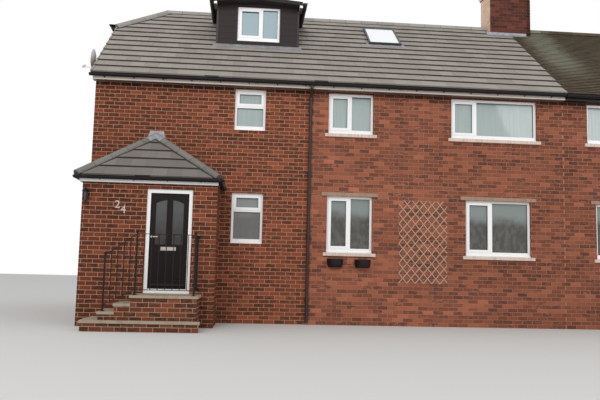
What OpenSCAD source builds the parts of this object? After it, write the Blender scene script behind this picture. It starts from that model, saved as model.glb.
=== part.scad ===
// Brick house row: an end house with a two-storey side extension and a hipped
// entrance porch, and the mirrored house on the far side of the party wall.
// Millimetres, Z up, street side towards -Y. The origin lies at ground level in
// the middle of the front wall's thickness, where the extension joins the house.

/* [Row] */
// Width of the side extension
ext_w = 4700; // [4600:50:5000]
// Width of one house, from its end to the party line
house_w = 5820; // [5800:20:6000]
// Depth of the row between the front and rear brick faces
depth = 6540; // [6440:20:6740]
// Thickness of the outer cavity walls
wall_t = 280; // [260:10:300]
// Thickness of the solid brick party walls
party_t = 225; // [215:5:240]
// Height of one brick course
course = 86; // [84:1:88]

/* [Levels] */
// Ground floor above the ground at the steps
gf_level = 700; // [690:5:710]
// First floor above the ground
ff_level = 3180; // [3150:10:3200]
// Thickness of a floor
floor_t = 200; // [180:10:220]

/* [Windows] */
// Head of the ground storey windows
gf_head = 2810; // [2800:5:2830]
// Sill of the house's ground storey windows
gf_sill = 1560; // [1500:10:1600]
// Sill of the extension's ground storey window
ext_gf_sill = 1710; // [1650:10:1750]
// Head of the upper windows
up_head = 5125; // [5100:5:5130]
// Sill of the upper windows
up_sill = 4205; // [4150:5:4250]
// Width of the extension's windows
ext_win_w = 680; // [650:10:720]
// Left edge of the extension's windows, from the gable face
ext_win_in = 3030; // [3000:10:3100]
// Width of the narrow house windows
small_w = 1010; // [980:10:1050]
// Left edge of the narrow house windows
small_x = 420; // [400:10:450]
// Width of the ground storey living room window
gf_big_w = 1500; // [1450:10:1550]
// Left edge of the living room window
gf_big_x = 3550; // [3500:10:3580]
// Width of the large bedroom window
up_big_w = 2000; // [1950:10:2050]
// Left edge of the large bedroom window
up_big_x = 3220; // [3180:10:3250]
// Set-back of the frames behind the brick face
reveal = 60; // [45:5:70]
// Depth of a window frame in front of its glass
frame_d = 46; // [40:2:50]
// Thickness of the sealed double glazing
glass_t = 24; // [20:2:28]
// Face width of a window frame
frame_w = 50; // [46:1:56]
// Face width of an opening sash
sash_w = 50; // [44:1:58]
// Face width of a mullion between two lights
mullion_w = 50; // [46:2:60]
// Height of the cill below a frame
cill_h = 50; // [44:1:56]
// Thickness of the concrete window sills
sill_t = 70; // [60:2:86]

/* [Main roof] */
// Pitch of the slopes in degrees
pitch = 38; // [37.5:0.5:38.5]
// Tile edge in front of the brick face
eave_run = 240; // [230:5:250]
// Top of the tiles at their lower edge
eave_z = 5325; // [5320:1:5335]
// Vertical thickness of rafters, battens and tiles together
roof_v = 150; // [145:1:152]
// Vertical thickness of the tiles over the gutter
tile_v = 50; // [45:1:55]
// Fascia face in front of the brick face
fascia_run = 170; // [160:5:180]
// Thickness of the fascia board
board_t = 20; // [18:1:22]
// Bottom of the fascia board
fascia_z = 5160; // [5150:5:5170]
// Verge overhang at the left gable
verge = 40; // [30:5:50]
// Outer radius of the half-round gutters
gutter_r = 56; // [50:1:58]
// Lower edge of the half-hip beyond the gable wall
hip_run = 170; // [160:5:180]
// Distance from the left gable face to the ridge's end
hip_in = 1045; // [1000:5:1080]

/* [Dormer] */
// Middle of the dormer from the left gable face
dormer_in = 3490; // [3450:10:3540]
// Width of the dormer over its cladding
dormer_w = 2020; // [1960:10:2080]
// Front of the dormer behind the brick face
dormer_y = 1375; // [1350:5:1400]
// Eaves height of the dormer
dormer_z = 7690; // [7670:5:7710]
// Pitch of the dormer roof in degrees
dormer_pitch = 5; // [4:0.5:7]
// Thickness of the dormer walls
dormer_t = 120; // [110:5:130]
// Width of the dormer window
dormer_win_w = 1030; // [980:10:1060]
// Height of the dormer window
dormer_win_h = 865; // [840:5:870]
// Sill of the dormer window
dormer_sill = 6715; // [6700:5:6740]

/* [Chimney and roof window] */
// Width of the shared chimney stack
stack_w = 1155; // [1100:5:1200]
// Depth of the chimney stack
stack_d = 700; // [680:5:720]
// Height of the plain shaft above the ridge
stack_h = 950; // [900:10:1000]
// Depth of the stack's seat in the party wall below the ridge
stack_seat = 1000; // [900:10:1100]
// Width of the roof window
rw_w = 840; // [820:5:860]
// Length of the roof window up the slope
rw_l = 1210; // [1180:5:1230]
// Left edge of the roof window
rw_x = 1640; // [1600:10:1680]

/* [Porch] */
// Width of the porch over its brickwork
porch_w = 2620; // [2580:10:2650]
// Left side of the porch from the gable face
porch_in = 155; // [140:5:170]
// Projection of the porch in front of the house
porch_d = 1250; // [1230:10:1300]
// Thickness of the porch walls
porch_t = 225; // [215:5:235]
// Top of the porch walls
porch_top = 2840; // [2835:1:2845]
// Pitch of the porch's front slope in degrees
porch_pitch = 38; // [37:0.5:39]
// Height of the porch ridge above its tile edge
porch_rise = 845; // [820:5:860]

/* [Door] */
// Width of the door frame
door_w = 890; // [880:5:910]
// Left edge of the door frame from the porch corner
door_in = 1250; // [1230:10:1270]
// Head of the door frame
door_head = 2690; // [2680:5:2700]
// Bottom of the threshold
door_foot = 650; // [650:1:655]
// Face width of the door frame
jamb_w = 70; // [65:1:72]
// Thickness of the door leaf
leaf_t = 44; // [42:1:46]
// Running clearance around the door leaf
gap = 5; // [5:0.5:6]
// Height of the handle above the door's foot
handle_up = 1015; // [980:5:1050]
// Radial clearance of a pin in its knuckle or rose
pin_fit = 0.08; // [0.05:0.01:0.1]

/* [Steps and railing] */
// Height of the landing
landing_h = 645; // [640:1:650]
// Depth of the landing in front of the porch
landing_d = 900; // [850:10:950]
// Going of one tread
going = 280; // [250:5:300]
// Rise from one tread to the next
step_rise = 150; // [145:1:155]
// Thickness of the tread slabs
slab_t = 50; // [45:1:55]
// Overhang of the tread slabs
nosing = 25; // [20:1:30]
// Plinth in front of the landing
plinth_d = 110; // [100:5:130]
// Height of the guard rail above the landing
guard_h = 1120; // [1050:10:1150]
// Thickness of a baluster
baluster = 14; // [12:1:16]

/* [Wall fittings] */
// Width of the trellis
trellis_w = 1090; // [1050:10:1120]
// Height of the trellis
trellis_h = 1830; // [1800:10:1860]
// Left side of the trellis
trellis_x = 2030; // [1980:10:2080]
// Foot of the trellis above the ground
trellis_z = 930; // [900:10:960]
// Width of a trellis lath
lath_w = 18; // [16:1:22]
// Width of a wall trough
trough_w = 362; // [340:2:380]
// Diameter of the dish
dish_d = 430; // [400:10:460]

/* [Hidden] */
$fn = 32;
far = 30000;
T = tan(pitch);
face = -wall_t / 2;                    // front brick face
inner = wall_t / 2;                    // inside of the front wall
ridge_y = face + depth / 2;
rear = face + depth;                   // rear brick face
x_left = -ext_w;                       // left gable face
x_party = house_w;                     // party line
x_end = 2 * house_w + party_t / 2;     // right end of the row
tile_y = face - eave_run;
fascia_y = face - fascia_run;
ridge_z = eave_z + (ridge_y - tile_y) * T;
ridge_x = x_left + hip_in;             // left end of the ridge
hip_tile_x = x_left - hip_run;
hip_z = ridge_z - (ridge_x - hip_tile_x) * T;
hip_fascia_x = x_left - hip_run + 70;

bed = 0.1;                             // bedding joint under sloping pieces

function roof_z(y) = eave_z + (y - tile_y) * T;         // top of the front slope
function under(y) = roof_z(y) - roof_v;                 // underside of the front slope
function head(y) = under(y) - bed;                      // wall head carrying the slope
function hip_plane(x) = ridge_z - (ridge_x - x) * T;    // top of the half-hip
function mirrored(o) = [2 * x_party - o[0] - o[2], o[1], o[2], o[3], o[4], 1 - o[5]];

ext_win_x = x_left + ext_win_in;

// a window: left, sill, width, height, kind (0 side casement, 1 top vent), split
ext_windows = [
    [ext_win_x, ext_gf_sill, ext_win_w, gf_head - ext_gf_sill, 1, 0.35],
    [ext_win_x, up_sill, ext_win_w, up_head - up_sill, 1, 0.42]
];
house_windows = [
    [small_x, gf_sill, small_w, gf_head - gf_sill, 0, 0.505],
    [small_x, up_sill, small_w, up_head - up_sill, 0, 0.5],
    [gf_big_x, gf_sill, gf_big_w, gf_head - gf_sill, 0, 0.40],
    [up_big_x, up_sill, up_big_w, up_head - up_sill, 0, 0.29]
];
next_windows = [for (o = house_windows) mirrored(o)];

attic_z = under(inner) - 2;

porch_x = x_left + porch_in;
porch_r = porch_x + porch_w;
porch_y = face - porch_d;
porch_eave = 110;                      // tile edge beyond the front wall
porch_eave_l = 135;                    // tile edge beyond the left wall
porch_eave_r = 45;                     // tile edge beyond the right wall
porch_fascia = 60;                     // fascia face beyond the front and left walls
porch_fascia_r = 15;                   // fascia face beyond the right wall
porch_mid = (porch_x - porch_eave_l + porch_r + porch_eave_r) / 2;
porch_tile_z = porch_top + 110;
porch_ridge_z = porch_tile_z + porch_rise;
porch_run = porch_rise / tan(porch_pitch);
porch_side_run = porch_r + porch_eave_r - porch_mid;
porch_apex_y = porch_y - porch_eave + porch_run;

door_x = porch_x + door_in;
door_r = door_x + door_w;
frame_y = porch_y + 30;                // front of the door frame
stop_t = 30;
leaf_y = frame_y + stop_t + gap;
lap = 12;                              // leaf behind the frame's stop
leaf_x = door_x + jamb_w - lap;
leaf_r = door_r - jamb_w + lap;
sill_h = 85;
leaf_z = door_foot + sill_h + gap;
leaf_top = door_head - jamb_w - 5 + lap;
frame_back = leaf_y + leaf_t + 1;
hinge_x = leaf_r + gap / 2;
hinge_y = frame_back + 8;
knuckle_r = 8;
hinge_pin_r = 4;
knuckle_l = 32;
hinge_rows = [250, 960, 1650];         // hinges above the leaf's foot
spindle_x = leaf_x + 60;
spindle_z = door_foot + sill_h + handle_up;
spindle_r = 8;
inner_door_x = door_x;
inner_door_w = door_w;
inner_door_h = door_head - gf_level;

landing_x = porch_x + 1175;
landing_r = porch_r - 265;
landing_y = porch_y - landing_d;
step_z = [for (i = [1:3]) landing_h - i * step_rise];

brick = "firebrick";
old_brick = "brown";
concrete = "tan";
tile = "darkgray";
white = "white";
black = "#202020";
dark = "#4a4040";

// a box from its low corner to its high corner
module block(a, b) { translate(a) cube([b[0] - a[0], b[1] - a[1], b[2] - a[2]]); }

// a plate in the XZ plane from y to y + t, drawn from its children in 2D
module upright(y, t) { translate([0, y + t, 0]) rotate([90, 0, 0]) linear_extrude(t) children(); }

// a plate in the YZ plane from x to x + t, drawn from its children in 2D
module crosswise(x, t) { translate([x, 0, 0]) rotate([90, 0, 90]) linear_extrude(t) children(); }

// the same piece for the rear of the row
module at_rear() { translate([0, 2 * ridge_y, 0]) mirror([0, 1, 0]) children(); }

// what lies on a slope, drawn from its lower edge at y, with z up from the tiles
module on_slope(y) { translate([0, y, roof_z(y)]) rotate([pitch, 0, 0]) children(); }

// everything below the top of the front slope
module under_slope() { on_slope(tile_y) block([-far, -far, -far], [far, far, bed]); }

// a front wall with its window openings, bevelled on top to carry the roof
module window_wall(x0, x1, windows) {
    difference() {
        crosswise(x0, x1 - x0) polygon([
            [face, 0], [inner, 0], [inner, head(inner)], [face, head(face)]
        ]);
        for (o = windows) block([o[0], face - 1, o[1]], [o[0] + o[2], inner + 1, o[1] + o[3]]);
    }
}

module extension_front_wall() {
    color(brick) difference() {
        window_wall(x_left + wall_t, 0, ext_windows);
        // doorway between the porch and the house
        block([inner_door_x, face - 1, gf_level],
              [inner_door_x + inner_door_w, inner + 1, gf_level + inner_door_h]);
    }
}

module house_front_wall() { color(old_brick) window_wall(0, x_party, house_windows); }

module neighbour_front_wall() {
    color(old_brick) window_wall(x_party, x_end - party_t, next_windows);
}

module gable_wall() {
    top = hip_plane(x_left) - roof_v - bed;
    reach = (hip_plane(x_left) - eave_z) / T + tile_y;
    color(brick) crosswise(x_left, wall_t) polygon([
        [face, 0], [rear, 0], [rear, head(face)],
        [2 * ridge_y - reach, top], [reach, top], [face, head(face)]
    ]);
}

module rear_wall() {
    color(brick) at_rear() window_wall(x_left + wall_t, x_party,
                                       concat(ext_windows, house_windows));
}

module neighbour_rear_wall() {
    color(old_brick) at_rear() window_wall(x_party, x_end - party_t, next_windows);
}

module party_wall() {
    color(old_brick) crosswise(x_party - party_t / 2, party_t) difference() {
        polygon([
            [inner, 0], [rear - wall_t, 0], [rear - wall_t, head(inner)],
            [ridge_y, head(ridge_y)], [inner, head(inner)]
        ]);
        // seat of the chimney stack
        translate([ridge_y - stack_d / 2, ridge_z - stack_seat]) square([stack_d, stack_seat]);
    }
}

module end_party_wall() {
    color(old_brick) crosswise(x_end - party_t, party_t) polygon([
        [face, 0], [rear, 0], [rear, head(face)],
        [ridge_y, head(ridge_y)], [face, head(face)]
    ]);
}

module floors() {
    spans = [
        [x_left + wall_t, x_party - party_t / 2],
        [x_party + party_t / 2, x_end - party_t]
    ];
    color(concrete) for (s = spans, top = [gf_level, ff_level, attic_z])
        block([s[0], inner, top - floor_t], [s[1], rear - wall_t, top]);
}

// Porch

module porch_side_walls() {
    color(brick) for (x = [porch_x, porch_r - porch_t])
        block([x, porch_y + porch_t, 0], [x + porch_t, face, porch_top]);
}

module porch_front_walls() {
    color(brick) {
        block([porch_x, porch_y, 0], [door_x, porch_y + porch_t, porch_top]);
        block([door_r, porch_y, 0], [porch_r, porch_y + porch_t, porch_top]);
    }
}

module porch_wall_over_door() {
    color(brick) block([door_x, porch_y, door_head], [door_r, porch_y + porch_t, porch_top]);
}

module porch_floor() {
    color(concrete) {
        block([porch_x + porch_t, porch_y + porch_t, gf_level - floor_t],
              [porch_r - porch_t, face, gf_level]);
        block([door_x, porch_y, 0], [door_r, porch_y + porch_t, door_foot]);
    }
}

// everything below the three planes of the porch roof, lowered by a distance
module porch_tent(drop, low) {
    side = atan(porch_rise / porch_side_run);
    difference() {
        block([porch_x - porch_eave_l, porch_y - porch_eave, low],
              [porch_r + porch_eave_r, face, porch_ridge_z]);
        translate([0, porch_y - porch_eave, porch_tile_z - drop]) rotate([porch_pitch, 0, 0])
            block([-far, -far, 0], [far, far, far]);
        translate([porch_x - porch_eave_l, 0, porch_tile_z - drop]) rotate([0, -side, 0])
            block([-far, -far, 0], [far, far, far]);
        translate([porch_r + porch_eave_r, 0, porch_tile_z - drop]) rotate([0, side, 0])
            block([-far, -far, 0], [far, far, far]);
    }
}

module porch_roof() {
    low = porch_tile_z - tile_v;
    in = porch_fascia - board_t;
    in_r = max(0, porch_fascia_r - board_t);
    color(tile) {
        difference() {
            porch_tent(0, low);
            intersection() {
                porch_tent(roof_v, low - 1);
                block([porch_x + porch_t, porch_y + porch_t, 0], [porch_r - porch_t, far, far]);
            }
        }
        // feet of the rafters on the wall heads, inside the fascia
        difference() {
            block([porch_x - in, porch_y - in, porch_top], [porch_r + in_r, face, low]);
            block([porch_x + porch_t, porch_y + porch_t, 0],
                  [porch_r - porch_t, face + 1, far]);
        }
    }
}

// Main roof

// section across a slope, from the tile edge to the ridge
module slope_section() {
    back = fascia_y + board_t;
    polygon([
        [tile_y, roof_z(tile_y)], [ridge_y, ridge_z], [ridge_y, ridge_z - roof_v],
        [back, roof_z(back) - roof_v], [back, roof_z(back) - tile_v],
        [tile_y, roof_z(tile_y) - tile_v]
    ]);
}

// plan triangle of the half-hip, drawn through the full height
module hip_plan() {
    k = ridge_x - hip_tile_x + 200;
    linear_extrude(far) polygon([
        [ridge_x, ridge_y], [ridge_x - k, ridge_y - k], [ridge_x - k, ridge_y + k]
    ]);
}

module stack_hole() {
    block([x_party - stack_w / 2, ridge_y - stack_d / 2, 0],
          [x_party + stack_w / 2, ridge_y + stack_d / 2, far]);
}

module roof_front_slope() {
    color(tile) difference() {
        crosswise(x_left - verge, x_party - x_left + verge) slope_section();
        hip_plan();
        stack_hole();
        // opening into the dormer
        block([dormer_x + dormer_t, dy + dormer_t, 0],
              [dormer_x + dormer_w - dormer_t, dy + dormer_t + dormer_hole, far]);
        // opening of the roof window
        on_slope(rw_y) block([rw_x, 0, -2 * roof_v], [rw_x + rw_w, rw_l, far]);
    }
}

module roof_rear_slope() {
    color(tile) difference() {
        at_rear() crosswise(x_left - verge, x_party - x_left + verge) slope_section();
        hip_plan();
        stack_hole();
    }
}

module roof_half_hip() {
    back = hip_fascia_x + board_t;
    color(tile) intersection() {
        translate([0, far / 2, 0]) rotate([90, 0, 0]) linear_extrude(far) polygon([
            [hip_tile_x, hip_z], [ridge_x, ridge_z], [ridge_x, ridge_z - roof_v],
            [back, hip_plane(back) - roof_v], [back, hip_plane(back) - tile_v],
            [hip_tile_x, hip_z - tile_v]
        ]);
        hip_plan();
    }
}

module neighbour_slope() {
    difference() {
        crosswise(x_party, x_end - x_party) slope_section();
        stack_hole();
    }
}

module neighbour_roof_front() { color(dark) neighbour_slope(); }

module neighbour_roof_rear() { color(dark) at_rear() neighbour_slope(); }

ridge_r = 115;
ridge_seat = 58;                       // middle of a ridge tile below the ridge
hip_r = 100;
hip_seat = 44;
porch_hip_r = 78;

// bedded ridge tile on two slopes of equal pitch, along +Y of its frame
module ridge_run(l, p) {
    rotate([90, 0, 0]) translate([0, 0, -l]) linear_extrude(l) difference() {
        translate([0, -ridge_seat]) circle(r = ridge_r);
        translate([0, bed]) polygon([
            [0, 0], [-400, -400 * tan(p)], [-400, -800], [400, -800], [400, -400 * tan(p)]
        ]);
    }
}

module ridge_and_hip_tiles() {
    hip_l = (ridge_x - hip_tile_x) * sqrt(2 + T * T);
    down = acos(-T / sqrt(2 + T * T));
    color(tile) {
        // main ridge, both sides of the stack
        translate([ridge_x, ridge_y, ridge_z]) rotate([0, 0, -90])
            ridge_run(x_party - stack_w / 2 - ridge_x, pitch);
        translate([x_party + stack_w / 2, ridge_y, ridge_z]) rotate([0, 0, -90])
            ridge_run(x_end - x_party - stack_w / 2, pitch);
        // the two hips of the half-hip
        for (s = [-1, 1]) difference() {
            translate([ridge_x, ridge_y, ridge_z - hip_seat]) rotate([0, down, s * 135])
                translate([0, 0, -150]) cylinder(r = hip_r, h = hip_l + 90);
            under_slope();
            at_rear() under_slope();
            hip_under();
            block([ridge_x, -far, 0], [far, far, far]);
        }
        // short porch ridge
        translate([porch_mid, porch_apex_y - 20, porch_ridge_z])
            ridge_run(face - porch_apex_y + 20, atan(porch_rise / porch_side_run));
        porch_hips();
    }
}

// half-round tiles on the two hips of the porch
module porch_hips() {
    y0 = porch_y - porch_eave;
    intersection() {
        difference() {
            for (x = [porch_x - porch_eave_l, porch_r + porch_eave_r])
                hip_rod([porch_mid, porch_apex_y, porch_ridge_z], [x, y0, porch_tile_z]);
            porch_tent(-bed, porch_tile_z - 1);
        }
        block([porch_x - porch_eave_l, y0, porch_tile_z + bed],
              [porch_r + porch_eave_r, face, far]);
    }
}

// round bar from one point down to another
module hip_rod(a, b) {
    v = b - a;
    translate(a) rotate([0, acos(v[2] / norm(v)), atan2(v[1], v[0])])
        cylinder(r = porch_hip_r, h = norm(v));
}

// everything below the half-hip's plane
module hip_under() {
    translate([hip_tile_x, 0, hip_z]) rotate([0, -pitch, 0])
        block([-far, -far, -far], [far, far, bed]);
}

module fascia_boards() {
    back = fascia_y + board_t;
    top = roof_z(fascia_y) - tile_v;
    color(white) {
        for (side = [0, 1]) translate([0, side * 2 * ridge_y, 0]) mirror([0, side, 0])
            crosswise(x_left - verge, x_party - x_left + verge) polygon([
                [fascia_y, fascia_z], [face, fascia_z], [face, fascia_z + 12],
                [back, fascia_z + 12], [back, top], [fascia_y, top]
            ]);
        // short fascia and soffit of the half-hip
        hip_fascia();
        // three sides of the porch
        porch_boards();
        dormer_box_ends();
    }
}

module hip_fascia() {
    top = hip_plane(hip_fascia_x) - tile_v;
    half = ridge_x - x_left - 20;
    translate([0, ridge_y + half, 0]) rotate([90, 0, 0]) linear_extrude(2 * half) polygon([
        [hip_fascia_x, top - 130], [x_left, top - 130], [x_left, top - 118],
        [hip_fascia_x + board_t, top - 118], [hip_fascia_x + board_t, top],
        [hip_fascia_x, top]
    ]);
}

module porch_boards() {
    low = porch_top - 50;
    out = porch_fascia;
    back_r = porch_r + max(0, porch_fascia_r - board_t);
    difference() {
        block([porch_x - out, porch_y - out, low],
              [porch_r + porch_fascia_r, face, porch_tile_z - tile_v]);
        block([porch_x - out + board_t, porch_y - out + board_t, low + 12],
              [back_r, face + 1, far]);
        block([porch_x, porch_y, 0], [porch_r, face + 1, far]);
    }
}

bracket_t = 8;

// half-round gutter with stopped ends, along +X from the origin, on the
// brackets that hold it off the board at +Y
module gutter(l, pitch_l = 620) {
    rotate([90, 0, 90]) {
        linear_extrude(l) gutter_section();
        linear_extrude(4) half_disc(gutter_r);
        translate([0, 0, l - 4]) linear_extrude(4) half_disc(gutter_r);
        n = max(1, round(l / pitch_l));
        for (i = [0:n - 1]) translate([0, 0, l * (i + 0.5) / n - 12]) linear_extrude(24) {
            difference() {
                half_disc(gutter_r + 4);
                circle(r = gutter_r - 1);
            }
            translate([gutter_r - 1, -70]) square([bracket_t + 1, 70]);
        }
    }
}

// lower half of a disc
module half_disc(r) {
    intersection() {
        circle(r = r);
        translate([-r, -r]) square([2 * r, r]);
    }
}

module gutter_section() {
    difference() {
        half_disc(gutter_r);
        circle(r = gutter_r - 4);
    }
}

module gutters() {
    top = roof_z(tile_y) - tile_v - 5;
    color(black) {
        for (side = [0, 1]) translate([0, side * 2 * ridge_y, 0]) mirror([0, side, 0])
            translate([x_left - 100, fascia_y - gutter_r - bracket_t, top])
                gutter(x_party - x_left + 80);
        // half-hip
        translate([hip_fascia_x - gutter_r - bracket_t, ridge_y + hip_in - 30,
                   hip_z - tile_v - 5])
            rotate([0, 0, -90]) gutter(2 * (hip_in - 30));
        dormer_gutters();
        porch_gutter();
    }
}

module porch_gutter() {
    off = gutter_r + bracket_t;
    x0 = porch_x - porch_fascia - off;
    x1 = porch_r + porch_fascia_r + off;
    y0 = porch_y - porch_fascia - off;
    z = porch_tile_z - tile_v - 5;
    low = z - gutter_r - 4;
    difference() {
        union() {
            translate([x0, y0, z]) channel(x1 - x0, 0);
            for (x = [x0, x1]) translate([x, y0, z]) channel(face - y0, 90);
        }
        // open the two corners
        for (x = [x0, x1]) translate([x, y0, z]) sphere(r = gutter_r - 4, $fn = 24);
    }
    // brackets against the boards
    for (i = [0:3]) let (x = porch_x + porch_w * (i + 0.5) / 4)
        block([x - 12, y0 + off - bracket_t - 2, low], [x + 12, y0 + off, z]);
    for (v = [porch_y + 200, face - 200]) {
        block([x0 + off - bracket_t - 2, v - 12, low], [x0 + off, v + 12, z]);
        block([x1 - off, v - 12, low], [x1 - off + bracket_t + 2, v + 12, z]);
    }
}

module channel(l, turn) {
    rotate([0, 0, turn]) difference() {
        union() {
            rotate([90, 0, 90]) linear_extrude(l) half_disc(gutter_r);
            // rounded corner piece
            intersection() {
                sphere(r = gutter_r, $fn = 24);
                block([-gutter_r, -gutter_r, -gutter_r], [gutter_r, gutter_r, 0]);
            }
        }
        rotate([90, 0, 90]) linear_extrude(l) circle(r = gutter_r - 4);
    }
}

module downpipe() {
    lowest = 500;
    z = roof_z(tile_y) - tile_v - 5 - gutter_r;
    y = face - 50;
    color(black) {
        translate([10, y, 40]) cylinder(r = 34, h = z - 260);
        // swan neck from the gutter outlet back to the wall
        hull() {
            translate([10, y, z - 222]) sphere(r = 34);
            translate([10, fascia_y - gutter_r - bracket_t, z - 60]) sphere(r = 34);
        }
        translate([10, fascia_y - gutter_r - bracket_t, z - 60]) cylinder(r = 34, h = 60);
        for (i = [0:3]) let (h = lowest + i * (z - lowest - 514) / 3)
            block([-45, y, h], [65, face, h + 40]);
    }
}

module neighbour_eaves() {
    top = roof_z(tile_y) - tile_v - 5;
    back = fascia_y + board_t;
    color(dark) for (side = [0, 1]) translate([0, side * 2 * ridge_y, 0]) mirror([0, side, 0]) {
        crosswise(x_party, x_end - x_party) polygon([
            [fascia_y, fascia_z], [face, fascia_z], [face, fascia_z + 12],
            [back, fascia_z + 12], [back, roof_z(fascia_y) - tile_v],
            [fascia_y, roof_z(fascia_y) - tile_v]
        ]);
        translate([x_party + 10, fascia_y - gutter_r - bracket_t, top])
            gutter(x_end - x_party - 10);
    }
}

// Dormer

dy = face + dormer_y;
dormer_mid = x_left + dormer_in;
dormer_x = dormer_mid - dormer_w / 2;
dormer_eave = 70;                      // dormer roof beyond its cheeks
dormer_run = dormer_w / 2 + dormer_eave;
dormer_v = 90;
dormer_hole = 900;
dormer_front = dy - 235;
dormer_top = dormer_z + dormer_run * tan(dormer_pitch);
dormer_back = tile_y + (dormer_top - eave_z) / T;     // its ridge meets the slope
dormer_win_x = dormer_mid - dormer_win_w / 2 + 20;

module dormer_walls() {
    rise = (dormer_w / 2) * tan(dormer_pitch);
    top = dormer_z - dormer_v + dormer_eave * tan(dormer_pitch) - bed;
    color(dark) difference() {
        upright(dy, dormer_back - dy) polygon([
            [dormer_x, eave_z], [dormer_x + dormer_w, eave_z], [dormer_x + dormer_w, top],
            [dormer_mid, top + rise], [dormer_x, top]
        ]);
        // room inside the dormer
        block([dormer_x + dormer_t, dy + dormer_t, 0],
              [dormer_x + dormer_w - dormer_t, far, far]);
        block([dormer_win_x, -far, dormer_sill],
              [dormer_win_x + dormer_win_w, far, dormer_sill + dormer_win_h]);
        under_slope();
    }
}

module dormer_roof() {
    x0 = dormer_mid - dormer_run;
    x1 = dormer_mid + dormer_run;
    color(dark) difference() {
        upright(dormer_front, dormer_back - dormer_front) polygon([
            [x0, dormer_z], [dormer_mid, dormer_top], [x1, dormer_z],
            [x1, dormer_z - dormer_v], [dormer_mid, dormer_top - dormer_v],
            [x0, dormer_z - dormer_v]
        ]);
        under_slope();
    }
}

// white ends of the eaves boxes, either side of the dormer's front
module dormer_box_ends() {
    low = dormer_z - dormer_v - 60;
    under_l = dormer_z - dormer_v - bed;
    for (s = [0, 1]) translate([dormer_mid, 0, 0]) mirror([s, 0, 0])
        upright(dormer_front + 10, dy - dormer_front + 140) polygon([
            [-dormer_run, low], [-dormer_w / 2, low],
            [-dormer_w / 2, under_l + dormer_eave * tan(dormer_pitch)], [-dormer_run, under_l]
        ]);
}

module dormer_gutters() {
    z = dormer_z - 25;
    l = tile_y + (z - eave_z) / T - dormer_front;
    for (s = [0, 1]) translate([dormer_mid, 0, 0]) mirror([s, 0, 0]) difference() {
        translate([-dormer_run - gutter_r - bracket_t, dormer_front + l, z])
            rotate([0, 0, -90]) gutter(l, 800);
        translate([-dormer_mid, 0, 0]) under_slope();
    }
}

rw_y = face + 1830;                    // foot of the roof window

module roof_window() {
    color(dark) on_slope(rw_y) difference() {
        block([rw_x, 0, -100], [rw_x + rw_w, rw_l, 70]);
        block([rw_x + 80, 80, -200], [rw_x + rw_w - 80, rw_l - 80, 100]);
        block([rw_x + 45, 45, 30], [rw_x + rw_w - 45, rw_l - 45, 100]);
    }
}

// Chimney and leadwork

module chimney_stack() {
    x0 = x_party - stack_w / 2;
    x1 = x_party + stack_w / 2;
    y0 = ridge_y - stack_d / 2;
    y1 = ridge_y + stack_d / 2;
    z = ridge_z + stack_h;
    // oversailing courses: projection, first course and last course
    bands = [[course / 3, 0, 1], [2 * course / 3, 1, 3], [course / 6, 3, 4]];
    color(brick) {
        block([x0, y0, ridge_z - stack_seat], [x1, y1, z]);
        for (b = bands) block([x0 - b[0], y0 - b[0], z + b[1] * course],
                              [x1 + b[0], y1 + b[0], z + b[2] * course]);
    }
}

module chimney_pots() {
    z = ridge_z + stack_h + 4 * course;
    color("peru") for (i = [-1.5:1:1.5]) translate([x_party + i * 245, ridge_y, z])
        rotate_extrude() polygon([
            [75, 0], [110, 0], [110, 40], [95, 60], [95, 330], [112, 350], [112, 390],
            [75, 390]
        ]);
}

module lead_flashings() {
    sheet = 4;
    color("slategray") {
        // aprons below the dormer, in front of the stack and below the roof window
        apron(dy, 150, dormer_x - 60, dormer_x + dormer_w + 60, sheet);
        apron(ridge_y - stack_d / 2, 110, x_party - stack_w / 2 - 80,
              x_party + stack_w / 2 + 80, sheet);
        apron(rw_y, 160, rw_x - 70, rw_x + rw_w + 70, sheet);
        // saddle where the porch ridge meets the wall
        block([porch_mid - 155, face - sheet, porch_ridge_z + 60],
              [porch_mid + 155, face, porch_ridge_z + 295]);
    }
}

// sheet on the slope, l long, dressed up to a piece that stands at y
module apron(y, l, x0, x1, sheet) {
    on_slope(y - l * cos(pitch)) block([x0, 0, bed], [x1, l - 1, bed + sheet]);
}

// Windows

// one frame: outer ring with its mullion or transom, above the cill
module frame_face(o) {
    difference() {
        translate([o[0], o[1] + cill_h]) square([o[2], o[3] - cill_h]);
        for (i = [0, 1]) translate([o[0], o[1]]) light(o, i, frame_w);
    }
}

// clear light number i of a window, inset from the window's edge and mid-bar
module light(o, i, edge) {
    half = mullion_w / 2;
    side = o[4] == 0;
    cut = side ? o[2] * o[5] : o[3] * (1 - o[5]);
    lo = i == 0 ? edge + (side ? 0 : cill_h) : cut + half;
    hi = i == 0 ? cut - half : (side ? o[2] : o[3]) - edge;
    if (side) translate([lo, edge + cill_h]) square([hi - lo, o[3] - 2 * edge - cill_h]);
    else translate([edge, lo]) square([o[2] - 2 * edge, hi - lo]);
}

// the light that opens: the casement nearer the party line's far side, or the vent
function opener(o) = o[4] == 1 ? 1 : (o[0] > x_party ? 1 : 0);

module frame_solid(o) {
    upright(0, frame_d) frame_face(o);
    // opening sash, lapping a little over the frame
    upright(-8, frame_d) translate([o[0], o[1]]) difference() {
        offset(delta = 10) light(o, opener(o), frame_w);
        offset(delta = -sash_w) light(o, opener(o), frame_w);
    }
    // cill with a thin nosing
    crosswise(o[0], o[2]) translate([0, o[1]]) polygon([
        [frame_d, 0], [frame_d, cill_h], [-12, cill_h], [-12, cill_h / 2],
        [-35, cill_h / 3], [-35, 0]
    ]);
}

module frames(windows) { for (o = windows) translate([0, face + reveal, 0]) frame_solid(o); }

module front_window_frames() {
    color(white) {
        frames(concat(ext_windows, house_windows, next_windows));
        translate([0, dy + 30, 0])
            frame_solid([dormer_win_x, dormer_sill, dormer_win_w, dormer_win_h, 0, 0.575]);
    }
}

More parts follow.
